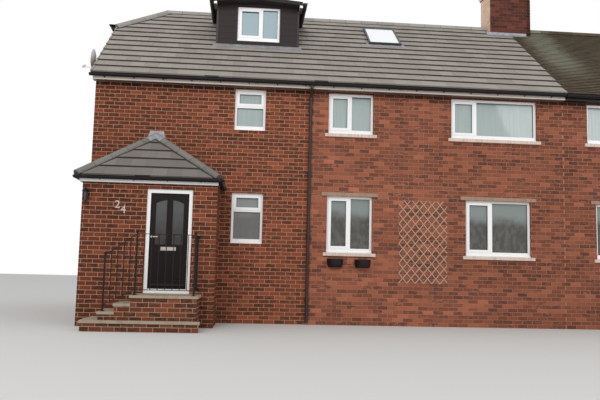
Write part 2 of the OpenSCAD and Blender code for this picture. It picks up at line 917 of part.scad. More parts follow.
module rear_window_frames() {
    color(white) at_rear() frames(concat(ext_windows, house_windows, next_windows));
}

module pane(o, y) {
    block([o[0], y, o[1]], [o[0] + o[2], y + glass_t, o[1] + o[3]]);
}

module window_glass() {
    every = concat(ext_windows, house_windows, next_windows);
    color("lightblue", 0.5) {
        for (o = every) pane(o, face + reveal + frame_d);
        at_rear() for (o = every) pane(o, face + reveal + frame_d);
        pane([dormer_win_x, dormer_sill, dormer_win_w, dormer_win_h], dy + 30 + frame_d);
        on_slope(rw_y) block([rw_x + 45, 45, 30], [rw_x + rw_w - 45, rw_l - 45, 30 + glass_t]);
    }
}

module sill_and_lintel(o) {
    out = 45;
    block([o[0] - 75, face - out, o[1] - sill_t], [o[0] + o[2] + 75, face, o[1]]);
    if (o[1] < ff_level) block([o[0] - 125, face - 25, o[1] + o[3]],
                               [o[0] + o[2] + 125, face, o[1] + o[3] + 80]);
}

module sills_and_lintels() {
    old = concat(house_windows, next_windows);
    color(concrete) {
        for (o = old) sill_and_lintel(o);
        at_rear() for (o = old) sill_and_lintel(o);
    }
}

// Front door

module door_frame() {
    head = door_head - jamb_w - 5;
    color(white) {
        difference() {
            block([door_x, frame_y, door_foot], [door_r, frame_back, door_head]);
            // opening in front of the leaf
            block([door_x + jamb_w, frame_y - 1, door_foot + sill_h],
                  [door_r - jamb_w, frame_back + 1, head]);
            // rebate that takes the leaf
            block([leaf_x - gap, leaf_y - gap, door_foot + sill_h],
                  [leaf_r + gap, frame_back + 1, leaf_top + gap]);
        }
    }
    color("silver") for (h = hinge_rows) translate([hinge_x, hinge_y, leaf_z + h]) {
        cylinder(r = hinge_pin_r, h = 3 * knuckle_l);
        cylinder(r = knuckle_r, h = knuckle_l);
        translate([0, 0, 2 * knuckle_l]) cylinder(r = knuckle_r, h = knuckle_l);
        for (z = [0, 2 * knuckle_l]) block([0, -8, z], [38, -5, z + knuckle_l]);
    }
}

// the pair of glazed lights, under one shared arch
module glazing(edge) {
    mid = (leaf_x + leaf_r) / 2;
    low = spindle_z - 150;
    high = door_head - 200;
    intersection() {
        for (s = [-1, 1]) translate([mid + s * 165 - 108 - edge, low - edge])
            square([216 + 2 * edge, high - low + 2 * edge]);
        translate([mid, high - 560]) circle(r = 560 + edge, $fn = 96);
    }
}

// the two moulded lower panels
module lower_panels(edge) {
    mid = (leaf_x + leaf_r) / 2;
    for (s = [-1, 1]) translate([mid + s * 165 - 108 + edge, leaf_z + 170 + edge])
        square([216 - 2 * edge, 520 - 2 * edge]);
}

module door_leaf() {
    bead = 6;
    color(black) {
        difference() {
            block([leaf_x, leaf_y, leaf_z], [leaf_r, leaf_y + leaf_t, leaf_top]);
            upright(leaf_y - 1, leaf_t + 2) glazing(0);
            translate([spindle_x, leaf_y - 1, spindle_z]) rotate([-90, 0, 0])
                cylinder(r = spindle_r + 3, h = leaf_t + 2);
            // sunk margin around the raised field of each lower panel
            for (y = [leaf_y - 1, leaf_y + leaf_t - bead]) upright(y, bead + 1) difference() {
                lower_panels(0);
                lower_panels(34);
            }
        }
        // glazing beads on both faces
        for (y = [leaf_y - bead, leaf_y + leaf_t]) upright(y, bead) difference() {
            glazing(24);
            glazing(0);
        }
    }
    color("silver") for (h = hinge_rows) translate([hinge_x, hinge_y, leaf_z + h + knuckle_l])
        difference() {
            union() {
                translate([0, 0, 1]) cylinder(r = knuckle_r, h = knuckle_l - 2);
                block([-38, -9, 1], [0, -5, knuckle_l - 1]);
            }
            translate([0, 0, -1]) cylinder(r = hinge_pin_r + pin_fit, h = knuckle_l + 2);
        }
}

module door_glass() {
    color("gray", 0.6) upright(leaf_y + 10, leaf_t - 20) glazing(0);
}

module door_furniture() {
    mid = (leaf_x + leaf_r) / 2;
    z = door_foot + 835;
    color("gold") {
        // letter plate
        block([mid - 148, leaf_y - 8, z], [mid + 148, leaf_y, z + 70]);
        // roses of the handle, outside and inside
        for (y = [leaf_y - 8, leaf_y + leaf_t]) difference() {
            translate([spindle_x, y, spindle_z]) rotate([-90, 0, 0]) cylinder(r = 26, h = 8);
            translate([spindle_x, y - 1, spindle_z]) rotate([-90, 0, 0])
                cylinder(r = spindle_r + pin_fit, h = 10);
        }
    }
}

module door_handle() {
    off = 50;
    color("silver") {
        translate([spindle_x, leaf_y - off, spindle_z]) rotate([-90, 0, 0])
            cylinder(r = spindle_r, h = leaf_t + 2 * off);
        for (y = [leaf_y - off - 7, leaf_y + leaf_t + off - 7]) {
            translate([spindle_x, y, spindle_z]) rotate([-90, 0, 0]) cylinder(r = 11, h = 14);
            block([spindle_x, y + 2, spindle_z - 9], [spindle_x + 118, y + 12, spindle_z + 9]);
        }
    }
}

// Landing, steps and railing

// brick riser with a paving slab on top that overhangs it
module tread(x0, x1, y0, y1, top, over_l, over_r) {
    color(brick) block([x0, y0, 0], [x1, y1, top - slab_t]);
    color(concrete) block([x0 - over_l, y0 - nosing, top - slab_t], [x1 + over_r, y1, top]);
}

module landing() {
    tread(landing_x, landing_r, landing_y, porch_y, landing_h, nosing, nosing);
}

// step number i down from the landing
module one_step(i) {
    x = landing_x - i * going;
    tread(x - going, x, landing_y, porch_y, step_z[i], nosing, 0);
}

module upper_step() { one_step(0); }

module middle_step() { one_step(1); }

module lower_step() { one_step(2); }

// the lowest tread runs on as a plinth in front of the landing
module step_plinth() {
    y = landing_y - nosing;
    tread(landing_x - 3 * going, landing_r + plinth_d / 2, y - plinth_d, y, step_z[2],
          nosing, nosing);
    color(brick) block([landing_x - 3 * going, y, 0],
                       [landing_r + plinth_d / 2, landing_y, step_z[2] - slab_t]);
}

// flat or sloping bar in the XZ plane between two points, w wide across it
module rail_bar(a, b, y, t, w) {
    upright(y - w / 2, w) polygon([
        [a[0], a[1] - t], [b[0], b[1] - t], [b[0], b[1]], [a[0], a[1]]
    ]);
}

module post(x, y, z0, z1, w) { block([x - w / 2, y - w / 2, z0], [x + w / 2, y + w / 2, z1]); }

module railing() {
    rail_w = 40;
    rail_t = 12;
    foot_gap = 90;
    inset = 60;
    y = landing_y + inset;
    x0 = landing_x + inset;
    x1 = landing_r - inset;
    foot_x = landing_x - 2 * going + inset;
    top = landing_h + guard_h;
    foot_top = step_z[1] + guard_h - 110;
    low = landing_h + foot_gap;
    foot_low = step_z[1] + foot_gap + 20;
    n = 7;
    color(black) {
        for (x = [x0, x1]) post(x, y, landing_h, top + 20, 2 * baluster);
        post(foot_x, y, step_z[1], foot_top + 20, 2 * baluster);
        // guard in front of the door
        rail_bar([x0, top], [x1, top], y, rail_t, rail_w);
        rail_bar([x0, low + baluster], [x1, low + baluster], y, baluster, baluster);
        for (i = [1:n]) post(x0 + (x1 - x0) * i / (n + 1), y, low + 1, top - 1, baluster);
        // return to the porch wall
        block([x1 - rail_w / 2, y, top - rail_t], [x1 + rail_w / 2, porch_y, top]);
        block([x1 - baluster / 2, y, low], [x1 + baluster / 2, porch_y, low + baluster]);
        for (i = [1:6]) post(x1, y + (porch_y - y) * i / 7, low + 1, top - 1, baluster);
        // sloping run beside the steps
        rail_bar([foot_x, foot_top], [x0, top], y, rail_t, rail_w);
        rail_bar([foot_x, foot_low + baluster], [x0, low + baluster], y, baluster, baluster);
        for (i = [1:4]) let (f = i / 5)
            post(foot_x + f * (x0 - foot_x), y, foot_low + f * (low - foot_low) + 6,
                 foot_top + f * (top - foot_top) - 6, baluster);
    }
}

// Wall fittings

module trellis() {
    dx = trellis_w * 0.17;
    lean = atan(dx / (trellis_h * 0.119));
    lath_t = 8;
    color("burlywood") for (s = [-1, 1])
        upright(face - (s > 0 ? lath_t : 2 * lath_t - 1), lath_t) intersection() {
            translate([trellis_x, trellis_z]) square([trellis_w, trellis_h]);
            for (i = s > 0 ? [-7:5] : [1:13]) translate([trellis_x + i * dx, trellis_z])
                rotate(-s * lean) translate([-lath_w / 2, -far]) square([lath_w, 2 * far]);
        }
}

// half-round pot: flat back against the wall, sides tapering to a flat foot
module half_pot(r, depth) {
    intersection() {
        rotate_extrude($fn = 48) polygon([
            [0, 0], [r, 0], [0.97 * r, -0.5 * depth], [0.9 * r, -0.85 * depth],
            [0.78 * r, -depth], [0, -depth]
        ]);
        block([-r, -r, -depth], [r, 0, 0]);
    }
}

module window_troughs() {
    r = trough_w / 2;
    wall = 10;
    depth = 175;
    color(black) for (x = [small_x + 198, small_x + 806])
        translate([x, face, gf_sill - sill_t - 70]) difference() {
            half_pot(r, depth);
            intersection() {
                translate([0, 0, 1]) half_pot(r - wall, depth - wall);
                block([-r, -r, -depth], [r, -wall, 2]);
            }
        }
}

module satellite_dish() {
    y = 560;
    z = 5880;
    color("gray") translate([x_left, y, z]) {
        // wall plate below the verge, and a cranked pole outside it
        block([-12, -60, -230], [0, 60, -110]);
        block([-115, -14, -184], [-12, 14, -156]);
        block([-115, -14, -184], [-87, 14, 14]);
        block([-215, -14, -14], [-87, 14, 14]);
        // shallow dish facing along the row's left side
        translate([-205, 0, 0]) rotate([0, -84, 0]) {
            difference() {
                scale_bowl(dish_d / 2, 60);
                translate([0, 0, 6]) scale_bowl(dish_d / 2, 60);
            }
        }
        // feed arm from the lower rim, and the receiver on its end
        block([-500, -8, -216], [-235, 8, -200]);
        translate([-500, 0, -208]) rotate([0, 55, 0]) cylinder(r = 26, h = 90);
    }
}
// solid of a shallow spherical bowl of rim radius r and depth d, opening up
module scale_bowl(r, d) {
    big = (r * r + d * d) / (2 * d);
    rotate_extrude($fn = 48) intersection() {
        translate([0, big]) circle(r = big, $fn = 180);
        square([r, d]);
    }
}

module wall_lantern() {
    x = porch_x + 85;
    z = 2400;
    color(black) translate([x, porch_y, z]) {
        block([-35, -10, 60], [35, 0, 220]);
        block([-8, -110, 235], [8, -5, 251]);
        block([-8, -14, 150], [8, -4, 251]);
        translate([0, -110, 0]) {
            cylinder(r1 = 38, r2 = 58, h = 190, $fn = 6);
            translate([0, 0, 190]) cylinder(r1 = 78, r2 = 12, h = 65, $fn = 6);
            translate([0, 0, 250]) cylinder(r = 9, h = 25);
        }
    }
}

extension_front_wall();
house_front_wall();
neighbour_front_wall();
gable_wall();
rear_wall();
neighbour_rear_wall();
party_wall();
end_party_wall();
floors();
porch_side_walls();
porch_front_walls();
porch_wall_over_door();
porch_floor();
roof_front_slope();
roof_rear_slope();
roof_half_hip();
neighbour_roof_front();
neighbour_roof_rear();
ridge_and_hip_tiles();
fascia_boards();
gutters();
downpipe();
neighbour_eaves();
dormer_walls();
dormer_roof();
roof_window();
chimney_stack();
chimney_pots();
lead_flashings();
porch_roof();
door_frame();
door_leaf();
door_glass();
door_furniture();
door_handle();
landing();
upper_step();
middle_step();
lower_step();
step_plinth();
railing();
front_window_frames();
rear_window_frames();
window_glass();
sills_and_lintels();
trellis();
window_troughs();
satellite_dish();
wall_lantern();
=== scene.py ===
import math
import random
import bpy
from mathutils import Matrix, Vector


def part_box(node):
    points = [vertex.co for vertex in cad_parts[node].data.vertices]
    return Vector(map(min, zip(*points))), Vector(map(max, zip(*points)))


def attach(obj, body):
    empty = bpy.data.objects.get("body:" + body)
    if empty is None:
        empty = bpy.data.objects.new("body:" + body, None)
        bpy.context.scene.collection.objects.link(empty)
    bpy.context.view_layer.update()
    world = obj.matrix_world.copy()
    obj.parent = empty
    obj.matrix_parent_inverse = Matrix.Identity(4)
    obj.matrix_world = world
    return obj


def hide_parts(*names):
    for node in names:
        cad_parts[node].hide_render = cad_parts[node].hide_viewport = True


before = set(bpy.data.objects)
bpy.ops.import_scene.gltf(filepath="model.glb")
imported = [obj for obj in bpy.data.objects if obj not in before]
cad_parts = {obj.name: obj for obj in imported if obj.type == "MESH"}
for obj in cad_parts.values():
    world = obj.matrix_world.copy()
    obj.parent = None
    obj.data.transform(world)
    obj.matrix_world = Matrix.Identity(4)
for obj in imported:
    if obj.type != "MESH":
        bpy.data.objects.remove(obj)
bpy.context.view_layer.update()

# Facing brickwork of the extension, porch, gable and rear
# Rough multi-coloured bricks of 215 by 76 mm in stretcher bond, laid with 10 mm
# joints of pale mortar; up to three in five are burnt dark in the middle.


def operator(operation, turned=False):
    """An operator of Wire, which feeds both its sides to a Math node."""
    def method(self, other=0.0):
        a, b = (other, self) if turned else (self, other)
        return self.finish.node("Math", {"operation": operation}, {0: a, 1: b})[0]
    return method


class Wire:
    """An output of a shader node that adds, multiplies and compares like a number."""

    def __init__(self, finish, socket):
        self.finish = finish
        self.socket = socket

    __add__, __radd__ = operator("ADD"), operator("ADD", True)
    __sub__, __rsub__ = operator("SUBTRACT"), operator("SUBTRACT", True)
    __mul__, __rmul__ = operator("MULTIPLY"), operator("MULTIPLY", True)
    __truediv__, __mod__ = operator("DIVIDE"), operator("FLOORED_MODULO")
    __lt__, __gt__ = operator("LESS_THAN"), operator("GREATER_THAN")
    __abs__, floor = operator("ABSOLUTE"), operator("FLOOR")

    def ramp(self, low, high, to_low=0.0, to_high=1.0):
        """Smooth step from to_low at low to to_high at high, held beyond them."""
        settings = {"interpolation_type": "SMOOTHSTEP"}
        return self.finish.node("MapRange", settings, {
            "Value": self, "From Min": low, "From Max": high,
            "To Min": to_low, "To Max": to_high,
        })[0]


class Outputs:
    """The outputs of one node, by name or number, as wires."""

    def __init__(self, finish, node):
        self.finish = finish
        self.shader = node

    def __getitem__(self, key):
        return Wire(self.finish, self.shader.outputs[key])


class Finish:
    """A material written as Python expressions."""

    def __init__(self, name):
        self.material = bpy.data.materials.new(name)
        self.material.use_nodes = True
        self.tree = self.material.node_tree
        self.surface = self.tree.nodes["Principled BSDF"]
        self.place = self.node("TexCoord")["Object"]

    def node(self, kind, settings=None, inputs=None):
        made = self.tree.nodes.new("ShaderNode" + kind)
        for name, value in (settings or {}).items():
            setattr(made, name, value)
        for name, value in (inputs or {}).items():
            self.feed(made.inputs[name], value)
        return Outputs(self, made)

    def feed(self, socket, value):
        if isinstance(value, Wire):
            self.tree.links.new(value.socket, socket)
        elif socket.type == "RGBA":
            socket.default_value = (*value[:3], 1.0)
        else:
            socket.default_value = value

    def xyz(self, vector=None):
        parts = self.node("SeparateXYZ", {}, {0: vector or self.place})
        return parts[0], parts[1], parts[2]

    def vector(self, x, y, z):
        return self.node("CombineXYZ", {}, {0: x, 1: y, 2: z})[0]

    def noise(self, scale, vector=None, detail=3.0, rough=0.5):
        return self.node("TexNoise", {}, {
            "Vector": vector or self.place, "Scale": scale, "Detail": detail,
            "Roughness": rough,
        })[0]

    def speck(self, vector):
        """One random number for each whole-numbered cell."""
        return self.node("TexWhiteNoise", {"noise_dimensions": "3D"}, {"Vector": vector})[0]

    def tint(self):
        """The three numbers that each small piece of a mesh carries."""
        colour = self.node("Attribute", {"attribute_name": "tint"})["Color"]
        parts = self.node("SeparateColor", {}, {0: colour})
        return parts[0], parts[1], parts[2]

    def mix(self, amount, first, second):
        return self.node("Mix", {"data_type": "RGBA"}, {0: amount, 6: first, 7: second})[2]

    def shade(self, colour, factor):
        """Colour times a grey factor."""
        grey = self.vector(factor, factor, factor)
        return self.node("VectorMath", {"operation": "MULTIPLY"}, {0: colour, 1: grey})[0]

    def bump(self, height, distance, strength=1.0):
        return self.node("Bump", {}, {
            "Height": height, "Distance": distance, "Strength": strength,
        })[0]

    def set(self, **values):
        for name, value in values.items():
            self.feed(self.surface.inputs[name.replace("_", " ")], value)
        return self.material


class Plane:
    """A flat face of the building: an origin and its directions along, up and out."""

    def __init__(self, origin, along, up):
        self.origin = Vector(origin)
        self.along = Vector(along).normalized()
        self.up = Vector(up).normalized()
        self.out = self.along.cross(self.up)

    def at(self, u, v, w=0.0):
        return self.origin + self.along * u + self.up * v + self.out * w


class Pieces:
    """Many small solids gathered into one mesh, each point with three numbers."""

    def __init__(self):
        self.points = []
        self.faces = []
        self.tints = []
        self.smooth = []

    def add(self, points, faces, tint=(0.5, 0.5, 0.0), smooth=False):
        first = len(self.points)
        self.points += [tuple(p) for p in points]
        self.faces += [[first + i for i in f] for f in faces]
        self.tints += tint if isinstance(tint, list) else [tint] * len(points)
        self.smooth += [smooth] * len(faces)

    def mesh(self, name, material, slot, body="row"):
        data = bpy.data.meshes.new(name)
        data.from_pydata(self.points, [], self.faces)
        tint = data.attributes.new("tint", "FLOAT_COLOR", "POINT")
        for i, value in enumerate(self.tints):
            tint.data[i].color = (*value, 1.0)
        data.materials.append(material)
        for i, face in enumerate(data.polygons):
            face.use_smooth = self.smooth[i]
        made = bpy.data.objects.new(name, data)
        bpy.context.scene.collection.objects.link(made)
        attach(made, body)
        return made


def paint(material, *names):
    """Gives CAD nodes a finish."""
    for name in names:
        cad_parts[name].data.materials.clear()
        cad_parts[name].data.materials.append(material)


def clip(poly, a, b, c):
    """The part of a convex polygon where a * u + b * v >= c."""
    kept = []
    for i, p in enumerate(poly):
        q = poly[(i + 1) % len(poly)]
        fp = a * p[0] + b * p[1] - c
        fq = a * q[0] + b * q[1] - c
        if fp >= 0:
            kept.append(p)
        if (fp > 0 > fq) or (fp < 0 < fq):
            t = fp / (fp - fq)
            kept.append((p[0] + t * (q[0] - p[0]), p[1] + t * (q[1] - p[1])))
    return kept


def area(poly):
    total = 0.0
    for i, p in enumerate(poly):
        q = poly[(i + 1) % len(poly)]
        total += p[0] * q[1] - q[0] * p[1]
    return abs(total) / 2


def edges(poly):
    """The half-planes a * u + b * v >= c inside an anticlockwise polygon."""
    for i, p in enumerate(poly):
        q = poly[(i + 1) % len(poly)]
        a, b = p[1] - q[1], q[0] - p[0]
        length = math.hypot(a, b)
        if length > 1e-6:
            yield a / length, b / length, (a * p[0] + b * p[1]) / length


def minus(poly, hole):
    """A convex polygon less a convex anticlockwise hole, as convex pieces."""
    pieces = []
    rest = poly
    for edge in edges(hole):
        rest = clip(rest, *edge)
    if len(rest) < 3 or area(rest) < 1e-6:
        return [poly]
    rest = poly
    for a, b, c in edges(hole):
        outside = clip(rest, -a, -b, -c)
        if len(outside) > 2 and area(outside) > 1e-6:
            pieces.append(outside)
        rest = clip(rest, a, b, c)
        if len(rest) < 3:
            break
    return pieces


def without(poly, holes):
    parts = [poly]
    for hole in holes:
        parts = [q for p in parts for q in minus(p, hole)]
    return parts


def inset(poly, d):
    """A convex polygon with every edge moved inwards."""
    result = poly
    for a, b, c in edges(poly):
        result = clip(result, a, b, c + d)
    return result


def rectangle(u0, v0, u1, v1):
    return [(u0, v0), (u1, v0), (u1, v1), (u0, v1)]


def ring(count, first, second):
    """Quads between two closed rows of vertices."""
    return [[first + i, first + (i + 1) % count, second + (i + 1) % count, second + i]
            for i in range(count)]


BRICK, JOINT, COURSE = 0.215, 0.010, 0.086
PITCH = BRICK + JOINT
PROUD, EASE = 0.004, 0.003
BOTH_ENDS, FIRST_END, LAST_END = (PROUD, PROUD), (PROUD, 0.0), (0.0, PROUD)
LEAST_COURSE, LEAST_BRICK, LEAST_FACE = 0.012, 0.020, 0.0004


def lay_wall(pieces, plane, u0, u1, v1, seed, v0=0.0, holes=(), cuts=(), shift=0.0,
             ends=(0.0, 0.0)):
    """Stretcher bond from u0 to u1 and v0 to v1 of a face, less holes and cuts.
    Each brick stands a little proud of its mortar and has eased edges."""
    chance = random.Random(seed)
    low, high = u0 - ends[0], u1 + ends[1]
    for k in range(int(v0 / COURSE), int(v1 / COURSE) + 1):
        start = (k % 2) * PITCH / 2 + shift
        floor = max(k * COURSE + JOINT / 2, v0)
        roof = min((k + 1) * COURSE - JOINT / 2, v1)
        if roof - floor < LEAST_COURSE:
            continue
        first = math.floor((low - start) / PITCH)
        for i in range(first, math.ceil((high - start) / PITCH) + 1):
            a = start + i * PITCH
            tint = (chance.random(), chance.random(), chance.random())
            brick = rectangle(max(a, low), floor, min(a + BRICK, high), roof)
            if brick[1][0] - brick[0][0] < LEAST_BRICK:
                continue
            for cut in cuts:
                brick = clip(brick, *cut)
            if len(brick) < 3:
                continue
            for p in without(brick, holes):
                if area(p) < LEAST_FACE:
                    continue
                n = len(p)
                top = inset(p, EASE)
                if len(top) != n:
                    top = p
                points = [plane.at(u, v) for u, v in p]
                points += [plane.at(u, v, PROUD) for u, v in top]
                pieces.add(points, ring(n, 0, n) + [list(range(n, 2 * n))], tint)


# street and rear faces in y, left gable, party line and far end in x
FACE, REAR, LEFT, PARTY, END = -0.140, 6.400, -4.700, 5.820, 11.7525
SOFFIT = 5.160


def brick_finish(name, pale, mid, deep, burnt, share, streak, contrast, lit_left_face=None,
                 fade=0.0, between=(0.5, PARTY)):
    """Bricks of many tones, a burnt middle on some, grit and pits, with painted shade under the
    eaves and over the porch, and painted sunlight on a stack's left face.
    """
    f = Finish(name)
    tone, burn, own = f.tint()
    colour = f.mix(tone.ramp(0.0, 0.5), pale, mid)
    colour = f.mix(tone.ramp(0.5, 1.0), colour, deep)
    x, y, z = f.xyz()
    patch = f.noise(26.0, f.vector(x * 0.45, y * 0.45, z), 4.0, 0.65)
    burning = (burn < share) * patch.ramp(0.38, 0.56) * (0.55 + 0.45 * own)
    colour = f.mix(burning, colour, burnt)
    fine = f.noise(140.0, None, 3.0, 0.7)
    if lit_left_face:
        # painted sunlight paling the left face, damp along the right edge of the front
        left_face = x < PARTY - STACK_W / 2 + 0.001
        colour = f.mix(left_face * (0.60 + 0.40 * fine), colour, lit_left_face)
        colour = f.shade(colour, 1 - 0.6 * x.ramp(PARTY + 0.42, PARTY + 0.50))
    wide = f.noise(0.55, f.vector(x, y, z * 1.6), 3.0, 0.6)
    light = (1 - contrast / 2 + contrast * own) * (0.84 + 0.32 * fine)
    light = light * wide.ramp(0.3, 0.72, 1 - streak, 1 + streak)
    light = light * x.ramp(*between, 1 + fade, 1 - fade)
    long_side = abs(y - (FACE + REAR) / 2) > (REAR - FACE) / 2 - 0.01
    # painted shade: the top courses of the long faces darken just under the soffit
    eaves_shade = z.ramp(SOFFIT - 0.20, SOFFIT - 0.04) * (z < SOFFIT + 0.05) * long_side
    # painted shade: brickwork standing in front of the street face, on the porch and steps, is
    # darker
    porch_shade = (y < FACE - 0.02) * 0.14
    grit = f.noise(420.0, None, 2.0, 0.6)
    return f.set(
        Base_Color=f.shade(colour, light * (1 - 0.62 * eaves_shade) * (1 - porch_shade)),
        Roughness=0.84 + 0.1 * fine,
        Normal=f.bump(f.noise(60.0) * 0.7 + grit * 0.3, 0.0022, 0.9),
        Specular_IOR_Level=0.15,
    )


def mortar_finish(name, joint, brick, dirt):
    """A wall's own face: sandy mortar outside, the bond drawn in its reveals."""
    f = Finish(name)
    x, y, z = f.xyz()
    sideways = f.xyz(f.node("NewGeometry")["Normal"])[0]
    row = (z / COURSE).floor()
    u = (y - FACE + (row % 2.0) * (PITCH / 2)) / PITCH
    part_u = (u % 1.0) * PITCH
    part_v = ((z / COURSE) % 1.0) * COURSE
    within = (y > FACE + 0.001) * (y < REAR - 0.001) * (x > LEFT + 0.01) * (x < END - 0.01)
    solid = (part_u < BRICK) * (part_v > JOINT / 2) * (part_v < COURSE - JOINT / 2)
    solid = solid * within * (abs(sideways) > 0.7) * (z < SOFFIT)
    chance = f.speck(f.vector(u.floor(), row, x.floor()))
    sand = f.noise(300.0, None, 3.0, 0.7)
    colour = f.mix(solid, f.shade(joint, 0.8 + 0.4 * sand), f.shade(brick, 0.7 + 0.6 * chance))
    return f.set(
        Base_Color=f.shade(colour, f.noise(0.9).ramp(0.3, 0.7, 1 - dirt, 1.0)),
        Roughness=0.95,
        Normal=f.bump(solid * 0.6 + sand * 0.25, 0.003, 0.8),
        Specular_IOR_Level=0.2,
    )


PITCH_ANGLE = math.radians(38)
TAN, COS, SIN = math.tan(PITCH_ANGLE), math.cos(PITCH_ANGLE), math.sin(PITCH_ANGLE)
RIDGE_Y, TILE_Y, EAVE_Z = 3.130, -0.380, 5.325
RIDGE_Z = EAVE_Z + (RIDGE_Y - TILE_Y) * TAN
RIDGE_X, HIP_X, VERGE_X = -3.655, -4.870, -4.740
HIP_Z = RIDGE_Z - (RIDGE_X - HIP_X) * TAN
TO_STREET, TO_BACK, TO_LEFT, TO_RIGHT = (1, 0), (-1, 0), (0, -1), (0, 1)


def upright(looks, x=0, y=0, z=0):
    """A vertical face that looks one way, its heights counted from z."""
    return Plane((x, y, z), (*looks, 0), (0, 0, 1))


front, back = upright(TO_STREET, y=FACE), upright(TO_BACK, y=REAR)
gable = upright(TO_LEFT, x=LEFT)
# left edge, sill, width and height of each window
extension_windows = [(-1.670, 1.710, 0.680, 1.100), (-1.670, 4.205, 0.680, 0.920)]
house_windows = [
    (0.420, 1.560, 1.010, 1.250), (0.420, 4.205, 1.010, 0.920),
    (3.550, 1.560, 1.500, 1.250), (3.220, 4.205, 2.000, 0.920),
]
next_windows = [(2 * PARTY - x - w, z, w, h) for x, z, w, h in house_windows]


def window_holes(windows, sign=1):
    """Openings on a face, seen along it in the direction of sign."""
    return [rectangle(min(sign * x, sign * (x + w)), z, max(sign * x, sign * (x + w)), z + h)
            for x, z, w, h in windows]


porch_low, porch_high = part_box("porch_front_walls")
roof_low, roof_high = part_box("porch_roof")
PORCH_EAVE_Z, PORCH_TOP_Z, APEX_IN = 2.950, 3.990, 1.340
apex_x = roof_low.x + APEX_IN
porch_outline = [
    rectangle(porch_low.x, 0.0, porch_high.x, PORCH_EAVE_Z),
    [(roof_low.x, PORCH_EAVE_Z - 0.03), (roof_high.x, PORCH_EAVE_Z - 0.03),
     (roof_high.x, PORCH_EAVE_Z), (apex_x, PORCH_TOP_Z), (roof_low.x, PORCH_EAVE_Z)],
]
ROOF_DEPTH, BEHIND_BOARD = 0.155, 0.05
under_slope = EAVE_Z - ROOF_DEPTH - TILE_Y * TAN
hip_base = HIP_Z - BEHIND_BOARD

bricks = Pieces()
lay_wall(bricks, front, LEFT, 0.0, SOFFIT, 11, ends=FIRST_END,
         holes=window_holes(extension_windows) + porch_outline)
lay_wall(bricks, back, 0.0, -LEFT, SOFFIT, 12, ends=LAST_END,
         holes=window_holes(extension_windows, -1))
lay_wall(bricks, back, -PARTY, 0.0, SOFFIT, 13, holes=window_holes(house_windows, -1))
lay_wall(bricks, gable, -REAR, -FACE, hip_base, 14, ends=BOTH_ENDS, shift=PITCH / 4,
         cuts=[(-TAN, -1.0, -under_slope), (TAN, -1.0, -under_slope - 2 * RIDGE_Y * TAN)])
frame_low, frame_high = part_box("door_frame")
porch_head = porch_high.z - BEHIND_BOARD
lay_wall(bricks, upright(TO_STREET, y=porch_low.y), porch_low.x, porch_high.x, porch_head, 15,
         holes=[rectangle(frame_low.x, 0.0, frame_high.x, frame_high.z)], ends=BOTH_ENDS)
lay_wall(bricks, upright(TO_LEFT, x=porch_low.x), -FACE, -porch_low.y, porch_head, 16,
         ends=LAST_END)
lay_wall(bricks, upright(TO_RIGHT, x=porch_high.x), porch_low.y, FACE, porch_head, 17,
         ends=FIRST_END)
new_brick = brick_finish(
    "new facing brick", (0.256, 0.071, 0.034), (0.200, 0.055, 0.027), (0.147, 0.042, 0.021),
    (0.064, 0.027, 0.016), 0.62, 0.05, 0.24, fade=-0.12, between=(LEFT, 0.0))
bricks.mesh("new_bricks", new_brick, "new_brick")
new_mortar = mortar_finish("new mortar", (0.47, 0.262, 0.178), (0.22, 0.062, 0.033), 0.10)
paint(new_mortar, "extension_front_wall", "gable_wall", "rear_wall", "porch_side_walls",
      "porch_front_walls", "porch_wall_over_door")

# Older brickwork of the house and its neighbour
# Weathered red-brown bricks in the same bond, their joints dulled to the colour
# of the bricks, with two terracotta air bricks over the ground storey windows.

bricks = Pieces()
air_bricks = [(0.080, 2.665), (1.560, 2.778)]
AIR_W, AIR_H = 0.215, 0.140
air_holes = [rectangle(x - JOINT, z - JOINT, x + AIR_W + JOINT, z + AIR_H + JOINT)
             for x, z in air_bricks]
lay_wall(bricks, front, 0.0, PARTY, SOFFIT, 21, holes=window_holes(house_windows) + air_holes)
lay_wall(bricks, front, PARTY, END, SOFFIT, 22, holes=window_holes(next_windows),
         ends=LAST_END)
lay_wall(bricks, back, -END, -PARTY, SOFFIT, 23, holes=window_holes(next_windows, -1),
         ends=FIRST_END)
lay_wall(bricks, upright(TO_RIGHT, x=END), FACE, REAR, RIDGE_Z, 24, ends=BOTH_ENDS,
         shift=PITCH / 4, cuts=[(TAN, -1.0, -under_slope),
                                 (-TAN, -1.0, -under_slope - 2 * RIDGE_Y * TAN)])
old_brick = brick_finish(
    "old facing brick", (0.33, 0.110, 0.062), (0.245, 0.080, 0.046), (0.175, 0.058, 0.037),
    (0.095, 0.040, 0.031), 0.30, 0.14, 0.26, fade=0.10)
bricks.mesh("old_bricks", old_brick, "old_brick")
old_mortar = mortar_finish("old mortar", (0.36, 0.19, 0.125), (0.24, 0.08, 0.048), 0.15)
paint(old_mortar, "house_front_wall", "neighbour_front_wall", "neighbour_rear_wall",
      "party_wall", "end_party_wall")


def flat_bar(pieces, u0, v0, u1, v1, y0, y1, tint=(0.5, 0.5, 0.0)):
    """A square-edged bar on the front wall, seen from the street."""
    points = [(x, y, z) for y in (y0, y1) for x, z in rectangle(u0, v0, u1, v1)]
    pieces.add(points, [[0, 1, 2, 3], [7, 6, 5, 4]] + [q[::-1] for q in ring(4, 0, 4)], tint)


